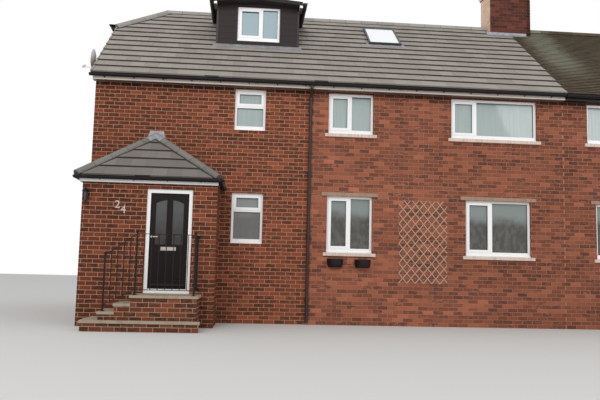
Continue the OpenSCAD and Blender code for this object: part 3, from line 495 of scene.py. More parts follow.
grilles = Pieces()
BAR, UPRIGHTS, CROSSBARS = 0.009, 10, 7
plate_y = FACE - 0.003
for x, z in air_bricks:
    # the plate behind the bars is painted near black as the shade in the holes
    flat_bar(grilles, x, z, x + AIR_W, z + AIR_H, plate_y, FACE, (0.5, 0.5, 1.0))
    for i in range(UPRIGHTS):
        u = x + (AIR_W - BAR) * i / (UPRIGHTS - 1)
        flat_bar(grilles, u, z, u + BAR, z + AIR_H, FACE - 0.010, plate_y)
    for i in range(CROSSBARS):
        v = z + (AIR_H - BAR) * i / (CROSSBARS - 1)
        flat_bar(grilles, x, v, x + AIR_W, v + BAR, FACE - 0.009, plate_y)
f = Finish("terracotta")
hollow_shade = f.tint()[2]
fine = f.noise(160.0, None, 3.0, 0.7)
# near black behind the bars: painted shade in the air brick's holes
terracotta = f.set(
    Base_Color=f.mix(hollow_shade, f.shade((0.46, 0.150, 0.085), 0.8 + 0.4 * fine),
                     (0.05, 0.022, 0.016)),
    Roughness=0.8,
    Normal=f.bump(fine, 0.001, 0.5),
)
grilles.mesh("air_bricks", terracotta, "old_brick")

# Sills, lintels and floors
# Cast concrete: thin buff lintels over the ground storey windows, painted sills
# with drip stains under every window of the older house, and plain floor slabs.

f = Finish("buff cast concrete")
x, y, z = f.xyz()
grain = f.noise(180.0, None, 4.0, 0.7)
stain = f.noise(9.0, f.vector(x * 3, y, z * 0.4), 3.0, 0.6)
sill = f.mix(stain.ramp(0.35, 0.80), (0.68, 0.55, 0.48), (0.49, 0.38, 0.32))
lintel = f.mix(stain.ramp(0.35, 0.75), (0.36, 0.24, 0.17), (0.27, 0.175, 0.125))
at_sill = (z > 1.40) * (z < 1.75) + (z > 4.0) * (z < 4.30)
colour = f.mix(at_sill, lintel, sill)
pits = f.node("TexVoronoi", {}, {"Vector": f.place, "Scale": 90.0})["Distance"]
buff = f.set(
    Base_Color=f.shade(colour, 0.85 + 0.3 * grain),
    Roughness=0.9,
    Normal=f.bump(grain * 0.5 + pits.ramp(0.0, 0.25), 0.0015, 0.6),
)
paint(buff, "sills_and_lintels", "floors", "porch_floor")

# Main roof of the end house
# Flat grey interlocking tiles 300 mm wide, thirteen courses from the eaves to the ridge in broken
# bond; every course's edge face is painted dark, with a painted shadow on the course below it.

TILE_W, OVERHANG, TILE_STEP, TILE_HEEL = 0.300, 0.045, 0.032, 0.004
SUNK, LEAST_TILE, UNEVEN = 0.002, 1e-5, 0.0015


def lay_tiles(pieces, plane, outline, gauge, width, seed, step=TILE_STEP, heel=TILE_HEEL,
              gap=0.002, holes=(), cuts=()):
    """Lapped tiles over a convex outline; each tilts from step down to heel.
    Courses count from the outline's lower edge; the first course's edge faces carry less painted
    shade than the rest."""
    chance = random.Random(seed)
    low_u, high_u = min(p[0] for p in outline), max(p[0] for p in outline)
    low_v, high_v = min(p[1] for p in outline), max(p[1] for p in outline)
    for k in range(math.ceil((high_v - low_v) / gauge - 0.001)):
        v = low_v + k * gauge
        start = low_u - width + (k % 2) * width / 2
        for i in range(math.ceil((high_u - low_u) / width) + 3):
            u = start + i * width
            tint = (chance.random(), chance.random())
            lift = chance.uniform(-UNEVEN, UNEVEN)
            tile = rectangle(u + gap / 2, v, u + width - gap / 2, v + gauge)
            for edge in list(edges(outline)) + list(cuts):
                tile = clip(tile, *edge)
            if len(tile) < 3 or area(tile) < LEAST_TILE:
                continue
            for p in without(tile, holes):
                n = len(p)
                top = [plane.at(a, b, step + lift + (heel - step) * (b - v) / gauge)
                       for a, b in p]
                foot = [plane.at(a, b, -SUNK) for a, b in p]
                pieces.add(top, [list(range(n))], [(tint[0], (b - v) / gauge, 0.0) for a, b in p])
                under = [] if k else [list(range(n))[::-1]]
                pieces.add(foot + top, ring(n, 0, n) + under, (*tint, 1.0 if k else 0.3))


def tile_finish(name, light, dark, edge, moss, moss_share, smear=False, lap_shadow_depth=0.0,
                shaded=0.0):
    """Tiles with their own tone, painted shadow below each course's edge and on the edge faces,
    painted shade on the porch's tiles, and some growth.
    """
    f = Finish(name)
    tone, part, side = f.tint()
    x, y, z = f.xyz()
    grain = f.noise(220.0, None, 3.0, 0.7)
    wide = f.noise(1.3, None, 4.0, 0.65)
    colour = f.mix(tone, light, dark)
    # painted shade on the tiles of the porch, below 4.5 m
    colour = f.shade(colour, 1 - shaded * (z < 4.5))
    growth = f.noise(7.0, None, 5.0, 0.7) * 0.6 + wide * 0.4
    colour = f.mix(growth.ramp(0.62 - moss_share, 0.80 - moss_share), colour, moss)
    if smear:
        # cement washed down the slope beside the stack
        line = abs(x - PARTY - 0.72) + (growth - 0.5) * 1.2
        band = line.ramp(0.66, 0.10) * z.ramp(EAVE_Z + 0.3, EAVE_Z + 1.4) * (y < RIDGE_Y)
        colour = f.mix(band * 0.9, colour, (0.235, 0.230, 0.170))
    # painted shadow on each tile just below the edge of the next course
    lap = part.ramp(0.88, 0.98) * (part < 1.01)
    colour = f.mix(lap * lap_shadow_depth, colour, edge)
    # painted shade on the edge and under faces, by the third number the layers give them
    colour = f.mix(side * 0.9, colour, edge)
    return f.set(
        Base_Color=f.shade(colour, 0.84 + 0.2 * grain + 0.12 * wide),
        Roughness=0.88,
        Normal=f.bump(grain + f.noise(35.0) * 0.6, 0.0015, 0.7),
        Specular_IOR_Level=0.2,
    )


front_slope = Plane((0, TILE_Y, EAVE_Z), (1, 0, 0), (0, COS, SIN))
rear_slope = Plane((0, 2 * RIDGE_Y - TILE_Y, EAVE_Z), (-1, 0, 0), (0, -COS, SIN))
SLOPE = (RIDGE_Y - TILE_Y) / COS
GAUGE = (SLOPE + OVERHANG) / 13.25
DORMER_MID, DORMER_W, DORMER_Y, DORMER_Z = -1.210, 2.020, 1.235, 7.690
DORMER_RUN, DORMER_TAN = 1.080, math.tan(math.radians(5))
DORMER_TOP = DORMER_Z + DORMER_RUN * DORMER_TAN


def up_slope(y):
    """Distance up the front slope to a depth y."""
    return (y - TILE_Y) / COS


dormer_x0, dormer_x1 = DORMER_MID - DORMER_W / 2, DORMER_MID + DORMER_W / 2
dormer_v = up_slope(DORMER_Y)
eaves_v = (DORMER_Z - EAVE_Z + (DORMER_RUN - DORMER_W / 2) * DORMER_TAN) / SIN
dormer_hole = [(dormer_x0, dormer_v), (dormer_x1, dormer_v), (dormer_x1, eaves_v),
               (DORMER_MID, (DORMER_TOP - EAVE_Z) / SIN), (dormer_x0, eaves_v)]
window_low, window_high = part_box("roof_window")
WINDOW_Y, WINDOW_L = 1.690, 1.210
window_v = up_slope(WINDOW_Y)
window_hole = rectangle(window_low.x, window_v, window_high.x, window_v + WINDOW_L)
STACK_W, STACK_D = 1.155, 0.700
stack_v = up_slope(RIDGE_Y - STACK_D / 2)
stack_hole = rectangle(PARTY - STACK_W / 2, stack_v, PARTY + STACK_W / 2, SLOPE + 0.1)
stack_hole_rear = [(-u, v) for u, v in reversed(stack_hole)]

tiles = Pieces()
# tiles stop short of the hip, where the near-black underlay shows as a painted shadow line
SHORT_OF_HIP = 0.200
hip_reach = RIDGE_X - RIDGE_Y + TILE_Y + SHORT_OF_HIP * math.hypot(1.0, COS)
to_hip = (1.0, -COS, hip_reach)
to_hip_rear = (-1.0, -COS, hip_reach)
lay_tiles(tiles, front_slope, rectangle(VERGE_X, -OVERHANG, PARTY, SLOPE), GAUGE, TILE_W, 31,
          holes=[dormer_hole, window_hole, stack_hole], cuts=[to_hip])
lay_tiles(tiles, rear_slope, rectangle(-PARTY, -OVERHANG, -VERGE_X, SLOPE), GAUGE, TILE_W, 32,
          holes=[stack_hole_rear], cuts=[to_hip_rear])
hip_slope = Plane((HIP_X, RIDGE_Y, HIP_Z), (0, -1, 0), (COS, 0, SIN))
hip_run = RIDGE_X - HIP_X
HIP_EAVE = 0.110
wide = hip_run - HIP_EAVE * COS
outline = [(-wide, HIP_EAVE), (wide, HIP_EAVE), (0.0, hip_run / COS)]
lay_tiles(tiles, hip_slope, outline, GAUGE, TILE_W, 33,
          cuts=[(a, b, c + SHORT_OF_HIP) for a, b, c in list(edges(outline))[1:]])

# units that cap the tiles' ends at the left verge, stepped with the courses
VERGE_COURSES, VERGE_DROP, VERGE_OUT, VERGE_IN = 9, 0.075, 0.030, 0.006
LOWER, UPPER = 0.038, 0.010
chance = random.Random(34)
for plane, sign in ((front_slope, 1), (rear_slope, -1)):
    u0, u1 = sign * (VERGE_X - VERGE_OUT), sign * (VERGE_X + VERGE_IN)
    for k in range(VERGE_COURSES):
        v = k * GAUGE - OVERHANG
        a, b = v - 0.004, v + GAUGE + 0.010
        p = [plane.at(u0, a, -VERGE_DROP), plane.at(u1, a, 0.0), plane.at(u1, b, 0.0),
             plane.at(u0, b, -VERGE_DROP)]
        q = [plane.at(u0, a, LOWER), plane.at(u1, a, LOWER), plane.at(u1, b, UPPER),
             plane.at(u0, b, UPPER)]
        tone = chance.random()
        tiles.add(q, [[0, 1, 2, 3][::sign]], (tone, 0.5, 0.0))
        # their sides and ends are given painted shade by the third number
        tiles.add(p + q, [g[::sign] for g in [[3, 2, 1, 0]] + ring(4, 0, 4)], (tone, 0.5, 0.8))
new_tile = tile_finish(
    "grey roof tile", (0.340, 0.310, 0.280), (0.280, 0.254, 0.228), (0.045, 0.040, 0.038),
    (0.25, 0.24, 0.15), 0.05, lap_shadow_depth=0.90, shaded=0.40)
tiles.mesh("new_roof_tiles", new_tile, "new_roof_tile")
# near-black, the underlay shows in the gaps along the hips as a painted shadow line
f = Finish("roofing underlay")
weave = f.noise(240.0, None, 2.0, 0.6)
underlay = f.set(
    Base_Color=f.shade((0.035, 0.031, 0.030), 0.7 + 0.6 * weave),
    Roughness=0.9,
    Normal=f.bump(weave, 0.001, 0.5),
)
paint(underlay, "roof_front_slope", "roof_rear_slope", "roof_half_hip", "porch_roof",
      "neighbour_roof_front", "neighbour_roof_rear")

# Neighbour's roof
# Old small plain tiles, 165 mm wide with 100 mm showing, brown with moss; a
# pale smear of cement has run down from the stack.

tiles = Pieces()
PLAIN_GAUGE, PLAIN_W, OFF_PARTY = SLOPE / 44, 0.165, 0.004
thin = {"step": 0.016, "heel": 0.003, "gap": 0.003}
lay_tiles(tiles, front_slope, rectangle(PARTY + OFF_PARTY, -OVERHANG, END, SLOPE),
          PLAIN_GAUGE, PLAIN_W, 41, holes=[stack_hole], **thin)
lay_tiles(tiles, rear_slope, rectangle(-END, -OVERHANG, -PARTY - OFF_PARTY, SLOPE),
          PLAIN_GAUGE, PLAIN_W, 42, holes=[stack_hole_rear], **thin)
old_tile = tile_finish(
    "old plain tile", (0.108, 0.080, 0.050), (0.066, 0.049, 0.032), (0.028, 0.021, 0.015),
    (0.072, 0.066, 0.028), 0.14, smear=True, lap_shadow_depth=0.4)
tiles.mesh("old_roof_tiles", old_tile, "old_roof_tile")

# Ridge and hip tiles
# Half-round tiles 450 mm long on the ridge, on both hips of the half-hip and on
# the hips and short ridge of the porch, mortar in the hips' feet and the far end.


def half_round(pieces, p0, p1, radius, length=0.450, gap=0.008, wall=0.014, plug=False):
    """A row of half-round tiles along a line, its start closed with mortar by plug."""
    p0, p1 = Vector(p0), Vector(p1)
    axis = (p1 - p0).normalized()
    side = axis.cross(Vector((0, 0, 1))).normalized()
    up = side.cross(axis)
    total = (p1 - p0).length
    count = max(1, round(total / length))
    steps = 14
    turns = [math.pi * j / steps for j in range(steps + 1)]
    for i in range(count):
        a = p0 + axis * (total * i / count + gap / 2)
        b = p0 + axis * (total * (i + 1) / count - gap / 2)
        rows = [[end + side * (r * math.cos(t)) + up * (r * math.sin(t)) for t in turns]
                for end in (a, b) for r in (radius, radius - wall)]
        tone = (random.Random(i + int(total * 1000)).random(), 0.5, 0.0)
        n = steps + 1
        strip = [[j, j + 1, n + j + 1, n + j] for j in range(steps)]
        pieces.add(rows[0] + rows[2], [f[::-1] for f in strip], tone, smooth=True)
        pieces.add(rows[1] + rows[3], strip, tone, smooth=True)
        # rims, ends and the plug are given painted shade by the third number
        for one, other, turn in ((rows[0], rows[1], 1), (rows[2], rows[3], -1)):
            pieces.add(one + other, [f[::turn] for f in strip], (*tone[:2], 0.7))
        for j in (0, steps):
            pieces.add([rows[0][j], rows[1][j], rows[3][j], rows[2][j]],
                       [[0, 1, 2, 3] if j else [3, 2, 1, 0]], (*tone[:2], 0.4))
        if plug and i == 0:
            pieces.add([p + axis * 0.006 for p in rows[1]], [list(range(n))[::-1]],
                       (0.9, 0.5, 0.55))


tiles = Pieces()
LOW, HIP_LOW, FOOT_IN, FOOT_UP = 0.066, 0.050, 0.09, 0.067
RIDGE_R, HIP_R, PORCH_R = 0.124, 0.112, 0.091
half_round(tiles, (RIDGE_X - 0.05, RIDGE_Y, RIDGE_Z - LOW),
           (PARTY - STACK_W / 2, RIDGE_Y, RIDGE_Z - LOW), RIDGE_R)
for s in (-1, 1):
    half_round(tiles, (HIP_X + FOOT_IN, RIDGE_Y + s * (hip_run - FOOT_IN),
                       HIP_Z + FOOT_UP - HIP_LOW),
               (RIDGE_X + 0.01, RIDGE_Y - s * 0.01, RIDGE_Z - HIP_LOW + 0.001), HIP_R, plug=True)
PORCH_TAN = math.tan(math.radians(39))
apex = Vector((apex_x, roof_low.y + (PORCH_TOP_Z - PORCH_EAVE_Z) / PORCH_TAN, PORCH_TOP_Z))
corners = [Vector((x, roof_low.y, PORCH_EAVE_Z)) for x in (roof_low.x, roof_high.x)]
seat = Vector((0, 0, -0.046))
for corner in corners:
    half_round(tiles, corner.lerp(apex, 0.015) + seat, apex + seat, PORCH_R, plug=True)
half_round(tiles, apex + seat, Vector((apex_x, FACE, apex.z)) + seat, PORCH_R)
ridge_tile = tile_finish(
    "grey ridge tile", (0.36, 0.345, 0.315), (0.29, 0.275, 0.25), (0.10, 0.095, 0.09),
    (0.30, 0.30, 0.20), 0.02, shaded=0.42)
ridge = tiles.mesh("ridge_tiles", ridge_tile, "new_roof_tile")
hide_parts("ridge_and_hip_tiles")
tiles = Pieces()
half_round(tiles, (END, RIDGE_Y, RIDGE_Z - LOW),
           (PARTY + STACK_W / 2, RIDGE_Y, RIDGE_Z - LOW), RIDGE_R, plug=True)
tiles.mesh("old_ridge_tiles", old_tile, "old_roof_tile")

# Porch roof
# Felt over boards, steeper and higher than the structure below it, and the same grey tiles in five
# courses on each of its three slopes, cut short of the hips, so that the near-black felt shows
# along the hip tiles as a painted shadow line.

tiles = Pieces()
HIP_GAP, PORCH_OVERHANG, PORCH_GAUGE = 0.152, 0.062, 0.345
rise = PORCH_TOP_Z - PORCH_EAVE_Z


def gap_from(p, q):
    """The side left of the line from p to q, less a gap along it."""
    a, b, c = next(edges([p, q]))
    return a, b, c + HIP_GAP


run = apex.y - roof_low.y
length = math.hypot(run, rise)
left, right = roof_low.x - apex_x, roof_high.x - apex_x
spread = 1 + PORCH_OVERHANG / length
lay_tiles(tiles, Plane((apex_x, roof_low.y, PORCH_EAVE_Z), (1, 0, 0), (0, run, rise)),
          [(left * spread, -PORCH_OVERHANG), (right * spread, -PORCH_OVERHANG), (0.0, length)],
          PORCH_GAUGE, TILE_W, 51,
          cuts=[gap_from((right, 0.0), (0.0, length)), gap_from((0.0, length), (left, 0.0))])
for edge_x, sign in ((roof_low.x, -1), (roof_high.x, 1)):
    run = apex_x - edge_x
    length = math.hypot(run, rise)
    slope = Plane((edge_x, 0, PORCH_EAVE_Z), (0, sign, 0), (run, 0, rise))
    foot, head = (sign * roof_low.y, 0.0), (sign * apex.y, length)
    outline = [(sign * FACE, -PORCH_OVERHANG), (foot[0], -PORCH_OVERHANG), head,
               (sign * FACE, length)]
    if sign > 0:
        outline = outline[::-1]
    hip = gap_from(foot, head) if sign < 0 else gap_from(head, foot)
    lay_tiles(tiles, slope, outline, PORCH_GAUGE, TILE_W, 52 + sign, cuts=[hip])
tiles.mesh("porch_roof_tiles", new_tile, "new_roof_tile")
felt = Pieces()
felt.add([corners[0], corners[1], (roof_high.x, FACE, PORCH_EAVE_Z),
          (roof_low.x, FACE, PORCH_EAVE_Z), apex, (apex_x, FACE, PORCH_TOP_Z)],
         [[0, 1, 4], [1, 2, 5, 4], [3, 0, 4, 5], [2, 3, 5], [3, 2, 1, 0]])
felt.mesh("porch_felt", underlay, "new_roof_tile")

# Fascia boards and soffits
# White plastic boards under the eaves of the end house and round the porch, their butt joints
# covered by trims; the soffits behind them and the porch's right-hand return are painted dark as
# painted shade, the soffits dark brown.


def box(pieces, a, b, ease=0.002, tint=(0.5, 0.5, 0.0)):
    """A box from its low to its high corner with eased edges all round."""
    a, b = Vector(a), Vector(b)
    e = min(ease, *((b[i] - a[i]) * 0.3 for i in range(3)))
    points = []
    index = {}
    for corner in range(8):
        for axis in range(3):
            p = [0.0, 0.0, 0.0]
            for i in range(3):
                high = corner >> i & 1
                p[i] = b[i] if high else a[i]
                if i != axis:
                    p[i] += -e if high else e
            index[corner, axis] = len(points)
            points.append(p)
    faces = []
    for axis in range(3):
        i, j = (axis + 1) % 3, (axis + 2) % 3
        for high in (0, 1):
            base = high << axis
            loop = [base, base | 1 << i, base | 1 << i | 1 << j, base | 1 << j]
            loop = loop if high else loop[::-1]
            faces.append([index[c, axis] for c in loop])
        for hi, hj in ((0, 0), (1, 0), (0, 1), (1, 1)):
            c = hi << i | hj << j
            d = c | 1 << axis
            edge = [index[c, i], index[d, i], index[d, j], index[c, j]]
            faces.append(edge if (hi + hj) % 2 == 0 else edge[::-1])
    for c in range(8):
        tri = [index[c, 0], index[c, 1], index[c, 2]]
        turn = (c & 1) + (c >> 1 & 1) + (c >> 2 & 1)
        faces.append(tri if turn % 2 else tri[::-1])
    pieces.add(points, faces, tint)


def tube(pieces, a, b, radius, end_radius=None, steps=20, tint=(0.5, 0.5, 0.0)):
    """A round bar or cone between two points, with flat ends."""
    a, b = Vector(a), Vector(b)
    axis = (b - a).normalized()
    side = axis.cross(Vector((0, 0, 1)) if abs(axis.z) < 0.9 else Vector((1, 0, 0)))
    side.normalize()
    other = axis.cross(side)
    turns = [2 * math.pi * i / steps for i in range(steps)]
    rows = [[end + side * (r * math.cos(t)) + other * (r * math.sin(t)) for t in turns]
            for end, r in ((a, radius), (b, radius if end_radius is None else end_radius))]
    pieces.add(rows[0] + rows[1], ring(steps, 0, steps), tint, smooth=True)
    pieces.add(rows[0], [list(range(steps))[::-1]], tint)
    pieces.add(rows[1], [list(range(steps))], tint)


def sheen(name, colour, roughness, mark=0.0, bump=0.0, metal=0.0, scale=40.0, gloss=0.5):
    """A smooth made surface with faint wear in its colour, gloss and level."""
    f = Finish(name)
    x, y, z = f.xyz()
    wear = f.noise(scale, None, 4.0, 0.6)
    runs = f.noise(6.0, f.vector(x * 5, y * 5, z * 0.5), 3.0, 0.6)
    tone = 1 - mark * runs.ramp(0.45, 0.85) - mark * 0.3 * wear
    return f.set(
        Base_Color=f.shade(colour, tone),
        Roughness=roughness * 0.85 + roughness * 0.3 * wear,
        Metallic=metal,
        Specular_IOR_Level=gloss,
        Normal=f.bump(wear, 0.0006 + bump, 0.35),
    )


f = Finish("white fascia and painted soffit shade")
x, y, z = f.xyz()
facing = f.xyz(f.node("NewGeometry")["Normal"])
wear = f.noise(40.0, None, 4.0, 0.6)
runs = f.noise(6.0, f.vector(x * 5, y * 5, z * 0.5), 3.0, 0.6)
# boards under the main eaves are duller than the porch's; the porch's right return is painted dark
# as painted shade
front_board = f.mix(abs(z - 5.2) < 0.5, (0.93, 0.92, 0.91), (0.67, 0.58, 0.52))
front_board = f.mix((facing[0] > 0.5) * (abs(x - porch_high.x) < 0.05), front_board,
                    (0.10, 0.075, 0.065))
# painted shade: the soffits, facing down, are dark brown
board = f.mix(facing[2] < -0.5, front_board, (0.16, 0.115, 0.095))
white_board = f.set(
    Base_Color=f.shade(board, 1 - 0.10 * runs.ramp(0.45, 0.85) - 0.04 * wear),
    Roughness=0.30 + 0.1 * wear,
    Normal=f.bump(wear, 0.0006, 0.35),
)
paint(white_board, "fascia_boards")
trims = Pieces()
BOARD_OUT, PORCH_BOARD_OUT, TRIM_W = 0.170, 0.060, 0.03
covers = [(x, FACE - BOARD_OUT, SOFFIT - 0.004, SOFFIT + 0.112) for x in (-2.9, 1.9, 4.9)]
covers.append((porch_low.x + 1.31, porch_low.y - PORCH_BOARD_OUT, 2.786, 2.895))
for x, y, low, high in covers:
    box(trims, (x, y - 0.004, low), (x + TRIM_W, y + 0.002, high))
trims.mesh("fascia_trims", white_board, "white_board")

# Gutters and downpipe
# Black half-round gutters on brackets, jointed by union clips with a pipe
# fixed to the wall between the two houses; the neighbour's eaves are black too.

black_plastic = sheen("black gutter plastic", (0.014, 0.012, 0.012), 0.42, mark=0.15,
                      gloss=0.22)
paint(black_plastic, "gutters", "neighbour_eaves")
brown_pipe = sheen("dark brown pipe", (0.040, 0.024, 0.019), 0.45, mark=0.2, gloss=0.3)
paint(brown_pipe, "downpipe")
fittings = Pieces()
GUTTER_R, ARC = 0.056, 12
gutter_y, gutter_z = FACE - BOARD_OUT - 0.064, EAVE_Z - 0.055
PIPE_X, PIPE_Y = 0.010, FACE - 0.050
half_turn = [math.pi * j / ARC for j in range(ARC + 1)]
n = len(half_turn)
# a wider half ring round each gutter joint, the widest one over the pipe
for x in (-3.2, -1.2, PIPE_X, 2.0, 4.0, 7.8, 9.8):
    half = 0.070 if x == PIPE_X else 0.045
    rows = [[(u, gutter_y - r * math.cos(t), gutter_z - r * math.sin(t)) for t in half_turn]
            for u in (x - half, x + half) for r in (GUTTER_R + 0.006, GUTTER_R - 0.001)]
    strip = [[j, n + j, n + j + 1, j + 1] for j in range(ARC)]
    fittings.add(rows[0] + rows[2], strip, smooth=True)
    fittings.add(rows[0] + rows[1], [q[::-1] for q in strip])
    fittings.add(rows[2] + rows[3], strip)
# short gutter at the foot of the half-hip
RIM, BORE = 0.062, 0.059
BEYOND, ABOVE, SHORT = 0.040, 0.030, 0.010
gutter_x = HIP_X + HIP_EAVE * COS - BEYOND - RIM
rim_z = HIP_Z + HIP_EAVE * SIN + ABOVE
ends = [RIDGE_Y - hip_run + SHORT, RIDGE_Y + hip_run - SHORT]
rows = [[(gutter_x - r * math.cos(t), y, rim_z - r * math.sin(t)) for t in half_turn]
        for y in ends for r in (RIM, BORE)]
strip = [[j, j + 1, n + j + 1, n + j] for j in range(ARC)]
fittings.add(rows[0] + rows[2], strip, smooth=True)
fittings.add(rows[1] + rows[3], [q[::-1] for q in strip], smooth=True)
for row, inner, turn in ((rows[0], rows[1], -1), (rows[2], rows[3], 1)):
    fittings.add(row + inner, [q[::turn] for q in strip])
    fittings.add(inner, [list(range(n))[::turn]])
    fittings.add(inner, [list(range(n))[::-turn]])
for j in (0, ARC):
    fittings.add([row[j] for row in (rows[0], rows[1], rows[3], rows[2])],
                 [[0, 1, 2, 3] if j else [3, 2, 1, 0]])
fittings.mesh("gutter_fittings", black_plastic, "black_plastic")
fittings = Pieces()
CLIP_R, SOCKET_R, SCREW_R, LUG = 0.040, 0.039, 0.006, 0.046
for h in (0.520, 1.902, 3.284, 4.666):
    tube(fittings, (PIPE_X, PIPE_Y, h - 0.025), (PIPE_X, PIPE_Y, h + 0.025), CLIP_R)
    for x in (PIPE_X - LUG, PIPE_X + LUG):
        tube(fittings, (x, PIPE_Y - 0.004, h), (x, PIPE_Y + 0.002, h), SCREW_R, steps=12)
for h in (2.560, 4.930):
    tube(fittings, (PIPE_X, PIPE_Y, h), (PIPE_X, PIPE_Y, h + 0.070), SOCKET_R)
fittings.mesh("pipe_fittings", brown_pipe, "black_plastic")

# Dormer
# A flat-fronted dormer clad in dark brown shiplap boards with narrow corner
# trims, under a nearly flat felt roof with dark fascias and white boxed ends.

boards = Finish("dark shiplap")
x, y, z = boards.xyz()
row = (z / 0.150) % 1.0
groove_with_shade = row.ramp(0.0, 0.10) * row.ramp(1.0, 0.93)
wood = boards.noise(30.0, boards.vector(x * 0.2, y * 0.2, z * 3), 4.0, 0.6)
dark_boarding = boards.set(
    # painted shade darkens each board's groove
    Base_Color=boards.shade((0.0315, 0.0225, 0.0225), (0.72 + 0.28 * groove_with_shade) * (0.9 + 0.2 * wood)),
    Roughness=0.55 + 0.1 * wood,
    Normal=boards.bump(groove_with_shade + wood * 0.05, 0.004, 0.5),
    Specular_IOR_Level=0.2,
)
paint(dark_boarding, "dormer_walls")
felt = Finish("roofing felt")
grit = felt.noise(500.0, None, 3.0, 0.7)
dark_felt = felt.set(
    Base_Color=felt.shade((0.034, 0.028, 0.028), 0.7 + 0.6 * grit),
    Roughness=0.8,
    Normal=felt.bump(grit, 0.001, 0.8),
    Specular_IOR_Level=0.2,
)
paint(dark_felt, "dormer_roof")
dark_trim = sheen("dark trim", (0.030, 0.023, 0.023), 0.4, mark=0.1, gloss=0.25)
trims = Pieces()
OVER, CORNER_W, CORNER_D = 0.006, 0.050, 0.060
foot, head = EAVE_Z + (DORMER_Y - TILE_Y) * TAN + 0.03, DORMER_Z - 0.152
for a, b in ((dormer_x0 - OVER, dormer_x0 + CORNER_W), (dormer_x1 - CORNER_W, dormer_x1 + OVER)):
    box(trims, (a, DORMER_Y - 0.010, foot), (b, DORMER_Y + CORNER_D, head))
dormer_window = (DORMER_MID - 0.495, 6.715, 1.030, 0.865)
wx0, wz0 = dormer_window[:2]
wx1, wz1 = wx0 + dormer_window[2], wz0 + dormer_window[3]
for u0, v0, u1, v1 in ((wx0 - TRIM_W, wz0 - TRIM_W, wx0, wz1),
                       (wx1, wz0 - TRIM_W, wx1 + TRIM_W, wz1), (wx0, wz0 - TRIM_W, wx1, wz0)):
    box(trims, (u0, DORMER_Y - 0.012, v0), (u1, DORMER_Y + 0.004, v1))
trims.mesh("dormer_trims", dark_trim, "dark_boarding")

# Roof window
# A dark metal frame standing on the slope, its upstand and cover strips screwed on, with a pane
# painted bright as a reflection of the sky and a lead apron below.

paint(sheen("grey window metal", (0.060, 0.062, 0.068), 0.4, metal=0.6), "roof_window")

# Leadwork
# Sheet lead dressed over the tiles below the dormer, the stack and the roof
# window, its lower edge following their steps, and a saddle over the porch ridge.


def tile_top(v):
    """Height of the tiles above the slope, a distance up it."""
    part = ((v + OVERHANG) / GAUGE) % 1.0
    return TILE_STEP + (TILE_HEEL - TILE_STEP) * part


def dress_lead(pieces, u0, u1, v0, v1, turn_up=0.0):
    """Lead over the tiles from v0 up to v1, then turned up against a piece."""
    laps = [k * GAUGE - OVERHANG for k in range(14)]
    cuts = [v0, v1] + [lap + e for lap in laps for e in (-0.004, 0.002)]
    rows = [(v, tile_top(v) + 0.004) for v in sorted(c for c in cuts if v0 <= c <= v1)]
    if turn_up:
        rows.append((v1 + turn_up * SIN, rows[-1][1] + turn_up * COS))
    columns = 40
    chance = random.Random(int(u0 * 100) + 7)
    wave = [chance.uniform(-0.010, 0.006) for i in range(columns + 1)]
    top, foot = [], []
    for j, (v, w) in enumerate(rows):
        for i in range(columns + 1):
            u = u0 + (u1 - u0) * i / columns
            shift = wave[i] if j == 0 else 0.0
            top.append(front_slope.at(u, v + shift, w + 0.0025 + 0.08 * wave[i]))
            foot.append(front_slope.at(u, v + shift, w))
    n = columns + 1
    faces = [[j * n + i, j * n + i + 1, (j + 1) * n + i + 1, (j + 1) * n + i]
             for j in range(len(rows) - 1) for i in range(columns)]
    count = len(top)
    under = [[count + i for i in q[::-1]] for q in faces]
    edge = [[i + 1, i, count + i, count + i + 1] for i in range(columns)]
    pieces.add(top + foot, faces + under + edge)


lead = Pieces()
LAP = 0.07
dress_lead(lead, dormer_x0 - LAP, dormer_x1 + LAP, dormer_v - 0.150, dormer_v)
dress_lead(lead, PARTY - STACK_W / 2 - 0.09, PARTY + STACK_W / 2 - 0.12, stack_v - 0.105,
           stack_v, 0.07)
dress_lead(lead, window_low.x - LAP, window_high.x + LAP, window_v - 0.160, window_v, 0.02)
# soaker on the wall behind the porch ridge
profile = [(-0.200, -0.060), (0.180, -0.060), (0.150, 0.110), (-0.145, 0.115)]
lead.add([(apex_x + a, FACE + y, PORCH_TOP_Z + b) for y in (-0.012, -0.002) for a, b in profile],
         [list(range(4))] + [q[::-1] for q in ring(4, 0, 4)])
# cap dressed down over the heads of the hip tiles
sheet = {"radius": 0.098, "length": 0.300, "gap": 0.0, "wall": 0.005}
for corner in corners:
    half_round(lead, apex.lerp(corner, 0.120) + seat, apex + seat, **sheet)
half_round(lead, apex - Vector((0, 0.01, 0)) + seat, Vector((apex_x, FACE, apex.z)) + seat,
           **sheet)
f = Finish("dull lead")
cloud = f.noise(9.0, None, 4.0, 0.7)
dull_lead = f.set(
    Base_Color=f.mix(cloud.ramp(0.3, 0.7), (0.26, 0.255, 0.285), (0.40, 0.40, 0.42)),
    Roughness=0.62,
    Metallic=0.35,
    Normal=f.bump(f.noise(26.0), 0.003, 0.5),
)
leads = lead.mesh("dressed_lead", dull_lead, "lead")
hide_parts("lead_flashings")

# Chimney stack
# Shared stack of rough brick on the ridge, its left face painted pale as sunlit, with oversailing
# courses, a mortar cap and four clay pots.

bricks = Pieces()
sx0, sx1 = PARTY - STACK_W / 2, PARTY + STACK_W / 2
sy0, sy1 = RIDGE_Y - STACK_D / 2, RIDGE_Y + STACK_D / 2
STACK_H, UNDER_RIDGE = 0.950, 0.30
shaft = RIDGE_Z + STACK_H
